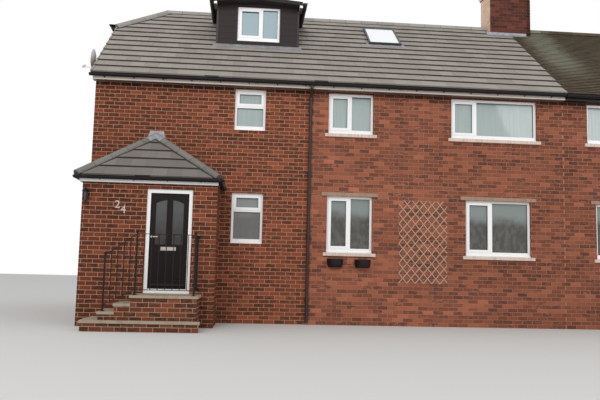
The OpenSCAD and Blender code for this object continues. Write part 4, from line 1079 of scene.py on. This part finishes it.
# how far each band stands out, and its first and last course over the shaft
bands = [(0.0, 0, 0), (COURSE / 3, 0, 1), (2 * COURSE / 3, 1, 3), (COURSE / 6, 3, 4)]
for out, first, last in bands:
    z0 = shaft + first * COURSE if last else RIDGE_Z - UNDER_RIDGE
    z1 = shaft + last * COURSE
    x0, x1, y0, y1 = sx0 - out, sx1 + out, sy0 - out, sy1 + out
    base = round(z0 / COURSE) * COURSE if not last else z0
    faces = [(upright(TO_STREET, y=y0, z=base), x0, x1),
             (upright(TO_BACK, y=y1, z=base), -x1, -x0),
             (upright(TO_LEFT, x=x0, z=base), -y1, -y0),
             (upright(TO_RIGHT, x=x1, z=base), y0, y1)]
    for i, (face, u0, u1) in enumerate(faces):
        lay_wall(bricks, face, u0, u1, z1 - base, 60 + i + first * 9, ends=BOTH_ENDS,
                 shift=(i // 2) * PITCH / 4)
# the left face is painted pale as painted sunlight
stack_brick = brick_finish(
    "stack brick", (0.160, 0.052, 0.036), (0.112, 0.038, 0.028), (0.080, 0.029, 0.024),
    (0.050, 0.024, 0.022), 0.3, 0.10, 0.30, lit_left_face=(1.0, 0.76, 0.56))
bricks.mesh("stack_bricks", stack_brick, "new_brick")
paint(mortar_finish("stack mortar", (0.16, 0.075, 0.052), (0.10, 0.04, 0.03), 0.15),
      "chimney_stack")
cap = Pieces()
cap_z = shaft + 4 * COURSE
points = []
for d, h in ((0.0, 0.0), (0.0, 0.02), (0.015, 0.045), (0.10, 0.085), (0.20, 0.105)):
    points += [(x, y, cap_z + h) for x, y in rectangle(sx0 + d, sy0 + d, sx1 - d, sy1 - d)]
cap.add(points, [q for k in range(4) for q in ring(4, 4 * k, 4 * k + 4)] + [[16, 17, 18, 19]])
f = Finish("bedding mortar")
sand = f.noise(260.0, None, 4.0, 0.7)
bedding = f.set(
    Base_Color=f.mix(sand, (0.20, 0.19, 0.17), (0.30, 0.285, 0.26)),
    Roughness=0.95,
    Normal=f.bump(sand, 0.003, 0.8),
)
cap.mesh("stack_flaunching", bedding, "concrete")
clay = Finish("weathered clay")
x, y, z = clay.xyz()
turned = clay.noise(40.0, clay.vector(x * 0.2, y * 0.2, z * 4), 3.0, 0.6)
soot = (z - cap_z).ramp(0.15, 0.42)
pot = clay.set(
    Base_Color=clay.mix(soot * 0.6, clay.shade((0.42, 0.17, 0.095), 0.8 + 0.4 * turned),
                        (0.06, 0.045, 0.04)),
    Roughness=0.85,
    Normal=clay.bump(turned, 0.002, 0.6),
)
paint(pot, "chimney_pots")

# Windows
# White plastic frames with square welded corners and a white cill; the sealed
# panes are held behind black gaskets.

white_frame = sheen("white window plastic", (0.89, 0.89, 0.90), 0.28, mark=0.05)
paint(white_frame, "front_window_frames", "rear_window_frames")
FRAME, SASH, HALF, CILL = 0.050, 0.050, 0.025, 0.050
REVEAL, DORMER_REVEAL, FRAME_D = 0.060, 0.030, 0.046
GASKET_D, BEAD = 0.012, 0.005
glass_in = REVEAL + FRAME_D


def lights(window, kind, split):
    """The clear lights of a window: x0, z0, x1, z1 and whether each opens."""
    x, z, w, h = window
    foot = z + CILL + FRAME
    if kind == "side":
        cut = x + w * split
        opens = 1 if x > PARTY else 0
        parts = [(x + FRAME, foot, cut - HALF, z + h - FRAME),
                 (cut + HALF, foot, x + w - FRAME, z + h - FRAME)]
    else:
        cut = z + h * (1 - split)
        opens = 1
        parts = [(x + FRAME, foot, x + w - FRAME, cut - HALF),
                 (x + FRAME, cut + HALF, x + w - FRAME, z + h - FRAME)]
    return [(*p, i == opens) for i, p in enumerate(parts)]


house_splits = [0.505, 0.50, 0.40, 0.29]
every_window = [(extension_windows[0], "top", 0.35), (extension_windows[1], "top", 0.42)]
every_window += [(w, "side", s) for w, s in zip(house_windows, house_splits)]
every_window += [(w, "side", 1 - s) for w, s in zip(next_windows, house_splits)]
gaskets = Pieces()


def trim_window(window, kind, split, y):
    """Gaskets for one window, their street side at depth y."""
    for x0, z0, x1, z1, opens in lights(window, kind, split):
        if opens:
            x0, z0, x1, z1 = x0 + SASH, z0 + SASH, x1 - SASH, z1 - SASH
        for u0, v0, u1, v1 in ((x0, z0, x0 + BEAD, z1), (x1 - BEAD, z0, x1, z1),
                               (x0, z0, x1, z0 + BEAD), (x0, z1 - BEAD, x1, z1)):
            box(gaskets, (u0, y, v0), (u1, y + GASKET_D, v1), 0.001)


for window, kind, split in every_window:
    trim_window(window, kind, split, FACE + glass_in - GASKET_D)
    trim_window(window, kind, split, REAR - glass_in)
trim_window(dormer_window, "side", 0.575, DORMER_Y + DORMER_REVEAL + FRAME_D - GASKET_D)
gaskets.mesh("window_gaskets", sheen("black gasket", (0.02, 0.02, 0.02), 0.6), "black_plastic")

# Window glass
# Sealed double glazing, its reflections painted into its colour. The upper panes show pale blinds
# under a painted white sky, with a painted shadow under their heads; the ground storey has a
# painted reflection of dark gardens under a paler sky, and panes facing up or down are painted
# near white as the sky.

f = Finish("sealed glazing")
x, y, z = f.xyz()
upward = f.xyz(f.node("NewGeometry")["Normal"])[2]
cloud = f.noise(1.1, f.vector(x, y * 0.3, z * 1.5), 3.0, 0.55)
reflected_twigs = f.noise(7.0, f.vector(x * 1.4, y, z * 0.8), 4.0, 0.6)
fold = f.noise(14.0, f.vector(x * 2.2, y, z * 0.08), 2.0, 0.5)
# painted reflection on the ground storey: dark gardens with twigs, their tree line against a paler
# sky
reflected_tree_line = (z + cloud * 0.5 - 0.25).ramp(2.28, 2.52)
low = f.mix(reflected_twigs.ramp(0.40, 0.62), (0.036, 0.036, 0.030), (0.082, 0.078, 0.066))
low = f.mix((x < -0.9) * 0.75, low, (0.145, 0.138, 0.132))
ground = f.mix(reflected_tree_line, low, f.mix(cloud, (0.165, 0.200, 0.190), (0.23, 0.265, 0.25)))
# upper panes: pale blinds under a painted reflection of the white sky
blind = f.mix(fold.ramp(0.30, 0.75), (0.325, 0.395, 0.385), (0.365, 0.435, 0.43))
# painted shadow under the heads of the upper lights
blind = f.mix(z.ramp(5.055, 5.02), (0.12, 0.15, 0.155), blind)
high = f.mix(z > 5.6, blind, (0.085, 0.195, 0.255))
colour = f.mix(z > 3.5, ground, high)
# painted sky reflection on panes facing up or down
colour = f.mix(abs(upward) > 0.3, colour, (0.85, 0.88, 0.90))
glazing = f.set(
    Base_Color=colour,
    Roughness=0.06,
    Coat_Weight=0.5,
    Normal=f.bump(f.noise(2.0, None, 1.0), 0.002, 0.15),
)
paint(glazing, "window_glass")

# Front door
# A black moulded leaf with two tall obscured panes under a shared arch, in a
# white frame; satin letter plate and roses, a bright lever, three steel hinges.

door_white = sheen("white door frame", (0.89, 0.89, 0.90), 0.28, mark=0.06)
paint(door_white, "door_frame")
door_black = sheen("black door skin", (0.0080, 0.0055, 0.0046), 0.45, bump=0.0004,
                   scale=90.0, gloss=0.15)
paint(door_black, "door_leaf")
f = Finish("obscured glass")
x, y, z = f.xyz()
ripple = f.node("TexVoronoi", {}, {"Vector": f.vector(x, y, z * 0.7), "Scale": 85.0})["Distance"]
depth = f.noise(3.0, None, 3.0, 0.6)
obscured = f.set(
    Base_Color=f.mix((z + depth * 0.5).ramp(1.9, 2.6), (0.030, 0.025, 0.021),
                     (0.072, 0.070, 0.072)),
    Roughness=0.22,
    Coat_Weight=0.15,
    Specular_IOR_Level=0.35,
    Normal=f.bump(ripple, 0.004, 0.6),
)
paint(obscured, "door_glass")
satin = sheen("satin fittings", (0.52, 0.46, 0.43), 0.32, metal=0.9, mark=0.1)
paint(satin, "door_furniture")
paint(sheen("bright lever", (0.52, 0.50, 0.48), 0.26, metal=0.85, mark=0.05), "door_handle")
LEAF_W, LEAF_IN, PLATE_Z, PLATE_D, FLAP_D = 0.774, 0.035, 1.485, 0.007, 0.014
leaf_y = frame_low.y + LEAF_IN
leaf_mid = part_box("door_leaf")[0].x + LEAF_W / 2
plate = Pieces()
box(plate, (leaf_mid - 0.125, leaf_y - FLAP_D, PLATE_Z + 0.012),
    (leaf_mid + 0.125, leaf_y - PLATE_D, PLATE_Z + 0.058), 0.002)
for x in (leaf_mid - 0.137, leaf_mid + 0.137):
    tube(plate, (x, leaf_y - 0.0115, PLATE_Z + 0.035), (x, leaf_y - PLATE_D, PLATE_Z + 0.035),
         0.005)
plate.mesh("letter_flap", satin, "gold_fittings", "door")
bar = Pieces()
BAR_Z, BAR_HALF = 0.790, 0.330
profile = [(0.001, 0.0), (0.001, 0.050), (-0.010, 0.046), (-0.028, 0.012), (-0.028, 0.0)]
points = [(x, leaf_y + y, BAR_Z + z) for x in (leaf_mid - BAR_HALF, leaf_mid + BAR_HALF)
          for y, z in profile]
bar.add(points, [[4, 3, 2, 1, 0], [5, 6, 7, 8, 9]] + ring(5, 0, 5))
bar.mesh("weather_bar", door_black, "black_door", "door")

# House number
# Two cast digits in dulled white enamel, screwed to the brickwork left of the
# door, the second one lower than the first.

STAND_OFF = 0.008


def digit(char, x, z, height, y):
    """One raised digit, its lower left corner at x, z on a face at y."""
    curve = bpy.data.curves.new("digit", "FONT")
    curve.body = char
    curve.extrude, curve.bevel_depth, curve.bevel_resolution = 0.04, 0.008, 1
    shape = bpy.data.objects.new("digit_shape", curve)
    bpy.context.scene.collection.objects.link(shape)
    bpy.context.view_layer.update()
    data = bpy.data.meshes.new_from_object(shape)
    bpy.data.objects.remove(shape)
    xs = [v.co.x for v in data.vertices]
    ys = [v.co.y for v in data.vertices]
    scale = height / (max(ys) - min(ys))
    points = [(x + (v.co.x - min(xs)) * scale, y - STAND_OFF - v.co.z * height,
               z + (v.co.y - min(ys)) * scale) for v in data.vertices]
    faces = [list(p.vertices) for p in data.polygons]
    return points, faces


numbers = Pieces()
DIGIT_H = 0.150
for char, x, z in (("2", -3.908, 2.290), ("4", -3.796, 2.195)):
    numbers.add(*digit(char, x, z, DIGIT_H, porch_low.y - PROUD))
enamel = sheen("white enamel", (0.52, 0.45, 0.42), 0.40, mark=0.10)
numbers.mesh("house_number", enamel, "white_board")

# Landing and steps
# Brick risers under buff paving slabs with worn edges: a landing before the
# door, three steps down to the left and a low plinth along the front.

bricks = Pieces()
SLAB, NOSING = 0.050, 0.025
land_low, land_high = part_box("landing")
lx0, lx1, ly = land_low.x + NOSING, land_high.x - NOSING, land_low.y + NOSING
land_z = land_high.z
step_boxes = [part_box(n) for n in ("upper_step", "middle_step", "lower_step")]
plinth_low, plinth_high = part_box("step_plinth")
plinth_top = plinth_high.z - SLAB
runs = [(lx0, lx1, land_z - SLAB, ly)]
runs += [(b[0].x + NOSING, b[1].x, b[1].z - SLAB, ly) for b in step_boxes]
for i, (x0, x1, top, y) in enumerate(runs):
    lay_wall(bricks, upright(TO_STREET, y=y), x0, x1, top, 70 + i,
             v0=plinth_high.z, ends=(PROUD if i in (0, 3) else 0.0, PROUD if i == 0 else 0.0))
px0, px1, py = plinth_low.x + NOSING, plinth_high.x - NOSING, plinth_low.y + NOSING
lay_wall(bricks, upright(TO_STREET, y=py), px0, px1, plinth_top, 75, ends=BOTH_ENDS)
for i, (b, base) in enumerate(zip([(land_low, land_high)] + step_boxes,
                                  [s[1].z for s in step_boxes] + [0.0])):
    lay_wall(bricks, upright(TO_LEFT, x=b[0].x + NOSING), -porch_low.y, -ly, b[1].z - SLAB,
             80 + i, v0=base, ends=LAST_END)
lay_wall(bricks, upright(TO_RIGHT, x=lx1), ly, porch_low.y, land_z - SLAB, 86,
         ends=FIRST_END)
bricks.mesh("step_bricks", new_brick, "new_brick")
f = Finish("paving and step core")
x, y, z = f.xyz()
grain = f.noise(150.0, None, 4.0, 0.7)
moss = f.noise(5.0, None, 5.0, 0.7)
paving = f.set(
    Base_Color=f.shade(f.mix(moss.ramp(0.45, 0.75), (0.36, 0.29, 0.22), (0.20, 0.175, 0.11)),
                       0.8 + 0.35 * grain),
    Roughness=0.9,
    Normal=f.bump(grain * 0.6 + moss, 0.002, 0.6),
)
paint(paving, "landing", "upper_step", "middle_step", "lower_step", "step_plinth")

# Railing
# Black painted steel: flat handrails, square balusters, posts with ball tops
# and foot plates bolted to the slabs, and a wall plate on the return.

black_paint = sheen("black iron paint", (0.010, 0.010, 0.010), 0.42, mark=0.2, bump=0.0006,
                    scale=70.0, gloss=0.2)
paint(black_paint, "railing")
iron = Pieces()
POST_IN, TREADS_DOWN, GUARD, DROP, STUB = 0.060, 0.560, 1.120, 0.110, 0.020
PLATE, PLATE_T, BOLT_AT, BALL = 0.040, 0.008, 0.027, 0.024
AROUND, UPWARDS = 14, 8
rail_y = ly + POST_IN
stair_z = step_boxes[1][1].z
posts = [(lx0 + POST_IN, land_z, land_z + GUARD + STUB),
         (lx1 - POST_IN, land_z, land_z + GUARD + STUB),
         (lx0 - TREADS_DOWN + POST_IN, stair_z, stair_z + GUARD - DROP + STUB)]
for x, z0, z1 in posts:
    box(iron, (x - PLATE, rail_y - PLATE, z0), (x + PLATE, rail_y + PLATE, z0 + PLATE_T))
    for dx in (-BOLT_AT, BOLT_AT):
        for dy in (-BOLT_AT, BOLT_AT):
            bolt = (x + dx, rail_y + dy)
            tube(iron, (*bolt, z0 + PLATE_T), (*bolt, z0 + 2 * PLATE_T), 0.007, steps=6)
    turns = [2 * math.pi * j / AROUND for j in range(AROUND)]
    rows = [(BALL * math.sin(a) + 0.001, z1 + 0.018 - BALL * math.cos(a))
            for a in (math.pi * t / UPWARDS for t in range(UPWARDS + 1))]
    points = [(x + r * math.cos(t), rail_y + r * math.sin(t), h) for r, h in rows for t in turns]
    iron.add(points, [q for t in range(0, AROUND * UPWARDS, AROUND)
                      for q in ring(AROUND, t, t + AROUND)], smooth=True)
# wall plates of the return's two rails
WALL_PLATE, return_x = 0.030, posts[1][0]
for h in (land_z + GUARD - 0.006, land_z + 0.097):
    box(iron, (return_x - WALL_PLATE, porch_low.y - 0.010, h - WALL_PLATE),
        (return_x + WALL_PLATE, porch_low.y - PROUD, h + WALL_PLATE))
iron.mesh("railing_fittings", black_paint, "black_iron")

# Trellis
# Expanding trellis of thin weathered laths, nailed at every crossing.

f = Finish("weathered lath")
x, y, z = f.xyz()
grain = f.noise(60.0, f.vector(x + z, y, x - z), 4.0, 0.6)
lath = f.set(
    Base_Color=f.mix(grain, (0.40, 0.25, 0.18), (0.56, 0.38, 0.28)),
    Roughness=0.85,
    Normal=f.bump(grain, 0.002, 0.6),
)
paint(lath, "trellis")
nails = Pieces()
lat_low, lat_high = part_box("trellis")
CELL_W, CELL_H, RIM_IN, NAIL_R = 0.1853, 0.21777, 0.02, 0.005
for i in range(-1, 14):
    for j in range(-1, 20):
        px, pz = lat_low.x + (i + (j % 2) / 2) * CELL_W, lat_low.z + j * CELL_H / 2
        if (lat_low.x + RIM_IN < px < lat_high.x - RIM_IN
                and lat_low.z + RIM_IN < pz < lat_high.z - RIM_IN):
            tube(nails, (px, lat_low.y - 0.0015, pz), (px, lat_low.y + 0.001, pz), NAIL_R, steps=8)
nails.mesh("trellis_nails", sheen("galvanised nails", (0.30, 0.30, 0.31), 0.45, metal=0.8),
           "grey_metal")

# Wall troughs
# Two black half-round pots of moulded plastic, their flat backs screwed to the
# wall under the narrow window, each with a rolled rim.

trough = sheen("black trough plastic", (0.013, 0.009, 0.012), 0.5, mark=0.2, gloss=0.2)
paint(trough, "window_troughs")
rims = Pieces()
TROUGH_R, RIM_Z, RIM_R, SIDES = 0.181, 1.414, 0.008, 24
for cx in (0.618, 1.226):
    path = [(cx + TROUGH_R * math.cos(t), FACE - 0.001 - TROUGH_R * math.sin(t), RIM_Z)
            for t in (math.pi * i / SIDES for i in range(SIDES + 1))]
    for a, b in zip(path, path[1:]):
        tube(rims, a, b, RIM_R, steps=10)
rims.mesh("trough_rims", trough, "black_plastic")

# Satellite dish
# A shallow pressed dish seen nearly from its edge, on a cranked pole below the
# verge, its receiver held out on an arm.

paint(sheen("grey dish paint", (0.78, 0.77, 0.77), 0.5, mark=0.2), "satellite_dish")

# Wall lantern
# A six-sided coach lantern of black painted metal with clear panes painted dark as the shade
# inside it, hung from a curled arm on a back plate.

LANTERN_IN, LANTERN_OUT, LANTERN_Z = 0.085, 0.110, 2.400
metal, panes = Pieces(), Pieces()


def hung(x, y, h):
    """A point of the lantern, from its place on the brickwork and its lower rim."""
    return Vector((porch_low.x + LANTERN_IN + x, porch_low.y + y, LANTERN_Z + h))


def hexagons(*sizes):
    """Six-sided rings one above the other, each from its radius and height."""
    turns = [math.radians(60 * i) for i in range(6)]
    return [hung(r * math.cos(t), r * math.sin(t) - LANTERN_OUT, h)
            for r, h in sizes for t in turns]


glazing_bars = hexagons((0.036, 0.012), (0.055, 0.182))
for i in range(6):
    tube(metal, glazing_bars[i], glazing_bars[i + 6], 0.005, steps=8)
panes.add([p.lerp(hung(0, -LANTERN_OUT, p.z - LANTERN_Z), 0.08) for p in glazing_bars],
          ring(6, 0, 6))
for sizes in (((0.041, 0.0), (0.041, 0.014)), ((0.061, 0.178), (0.061, 0.192)),
              ((0.076, 0.190), (0.078, 0.196), (0.052, 0.222), (0.030, 0.240), (0.014, 0.262))):
    top = 6 * len(sizes) - 6
    metal.add(hexagons(*sizes), [q for k in range(0, top, 6) for q in ring(6, k, k + 6)]
              + [[5, 4, 3, 2, 1, 0], list(range(top, top + 6))])
tube(metal, hung(0, -LANTERN_OUT, -0.018), hung(0, -LANTERN_OUT, 0.002), 0.004, 0.012, steps=12)
tube(metal, hung(0, -LANTERN_OUT, 0.255), hung(0, -LANTERN_OUT, 0.275), 0.008, steps=12)
box(metal, hung(-0.034, -0.014, 0.060), hung(0.034, -0.003, 0.220), 0.004)
arm = [hung(0, y, h) for y, h in ((-0.012, 0.120), (-0.050, 0.150), (-0.060, 0.205),
                                  (-0.080, 0.250), (-LANTERN_OUT, 0.262))]
for a, b in zip(arm, arm[1:]):
    tube(metal, a, b, 0.007, steps=10)
lantern = metal.mesh("lantern_frame", black_paint, "black_iron")
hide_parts("wall_lantern")
# the panes are painted dark: painted shade of the unlit inside seen through clear glass
f = Finish("pane in painted shade")
pane_mottle = f.noise(60.0, None, 3.0, 0.7)
pane_in_shade = f.set(Base_Color=f.mix(pane_mottle, (0.045, 0.040, 0.046), (0.10, 0.092, 0.105)),
               Roughness=0.12, Normal=f.bump(pane_mottle, 0.001, 0.3))
panes.mesh("lantern_panes", pane_in_shade, "glass")

# Floor, sky, lamps and camera
# Pale ground, a white sky and a soft key from the left as on an overcast day;
# the camera stands in the street a little left of the old joint.

GROUND_Z = -0.002
ground = bpy.data.meshes.new("ground")
ground.from_pydata([(x, y, GROUND_Z) for x, y in rectangle(-60, -40, 60, 60)], [], [[0, 1, 2, 3]])
floor = bpy.data.objects.new("ground", ground)
bpy.context.scene.collection.objects.link(floor)
pale = Finish("pale ground")
ground.materials.append(pale.set(Base_Color=(0.62, 0.62, 0.61), Roughness=0.9))

world = bpy.data.worlds.new("overcast sky")
bpy.context.scene.world = world
world.use_nodes = True
nodes, links = world.node_tree.nodes, world.node_tree.links
sky = nodes["Background"]
sky.inputs["Color"].default_value = (1.0, 1.0, 1.0, 1.0)
SKY_LIGHT = 0.72
paths = nodes.new("ShaderNodeLightPath")
seen = nodes.new("ShaderNodeMath")
seen.operation = "MAXIMUM"
links.new(paths.outputs["Is Camera Ray"], seen.inputs[0])
links.new(paths.outputs["Is Glossy Ray"], seen.inputs[1])
strength = nodes.new("ShaderNodeMapRange")
links.new(seen.outputs[0], strength.inputs["Value"])
strength.inputs["To Min"].default_value = SKY_LIGHT
strength.inputs["To Max"].default_value = 1.0
links.new(strength.outputs[0], sky.inputs["Strength"])


def lamp(name, place, target, size, power, colour=(1.0, 1.0, 1.0)):
    data = bpy.data.lights.new(name, "AREA")
    data.shape = "DISK"
    data.size = size
    data.energy = power
    data.color = colour
    made = bpy.data.objects.new(name, data)
    made.location = place
    made.rotation_euler = (Vector(target) - Vector(place)).to_track_quat("-Z", "Y").to_euler()
    bpy.context.scene.collection.objects.link(made)


lamp("key", (-9, -30, 22), (1.5, 0, 4), 22, 5000, (1.0, 0.985, 0.96))
lamp("fill", (20, -22, 13), (4, 0, 3), 14, 1100, (0.95, 0.98, 1.0))

IMAGE_W, FOCAL_PX, SENSOR = 600, 660, 36
EYE = (-1.32, -14.51, 1.17)
YAW, TILT, ROLL = math.radians(4.54), math.radians(6.04), math.radians(1.37)
forward = Vector((math.sin(YAW) * math.cos(TILT), math.cos(YAW) * math.cos(TILT), math.sin(TILT)))
right = Vector((math.cos(YAW), -math.sin(YAW), 0))
up = right.cross(forward)
across = right * math.cos(ROLL) + up * math.sin(ROLL)
upward = up * math.cos(ROLL) - right * math.sin(ROLL)
view = bpy.data.cameras.new("camera")
view.sensor_width = SENSOR
view.lens = SENSOR * FOCAL_PX / IMAGE_W
view.clip_end = 200
camera = bpy.data.objects.new("camera", view)
place = Matrix((across, upward, -forward)).transposed().to_4x4()
place.translation = Vector(EYE)
camera.matrix_world = place
bpy.context.scene.collection.objects.link(camera)
bpy.context.scene.camera = camera
bpy.context.scene.view_settings.view_transform = "Standard"
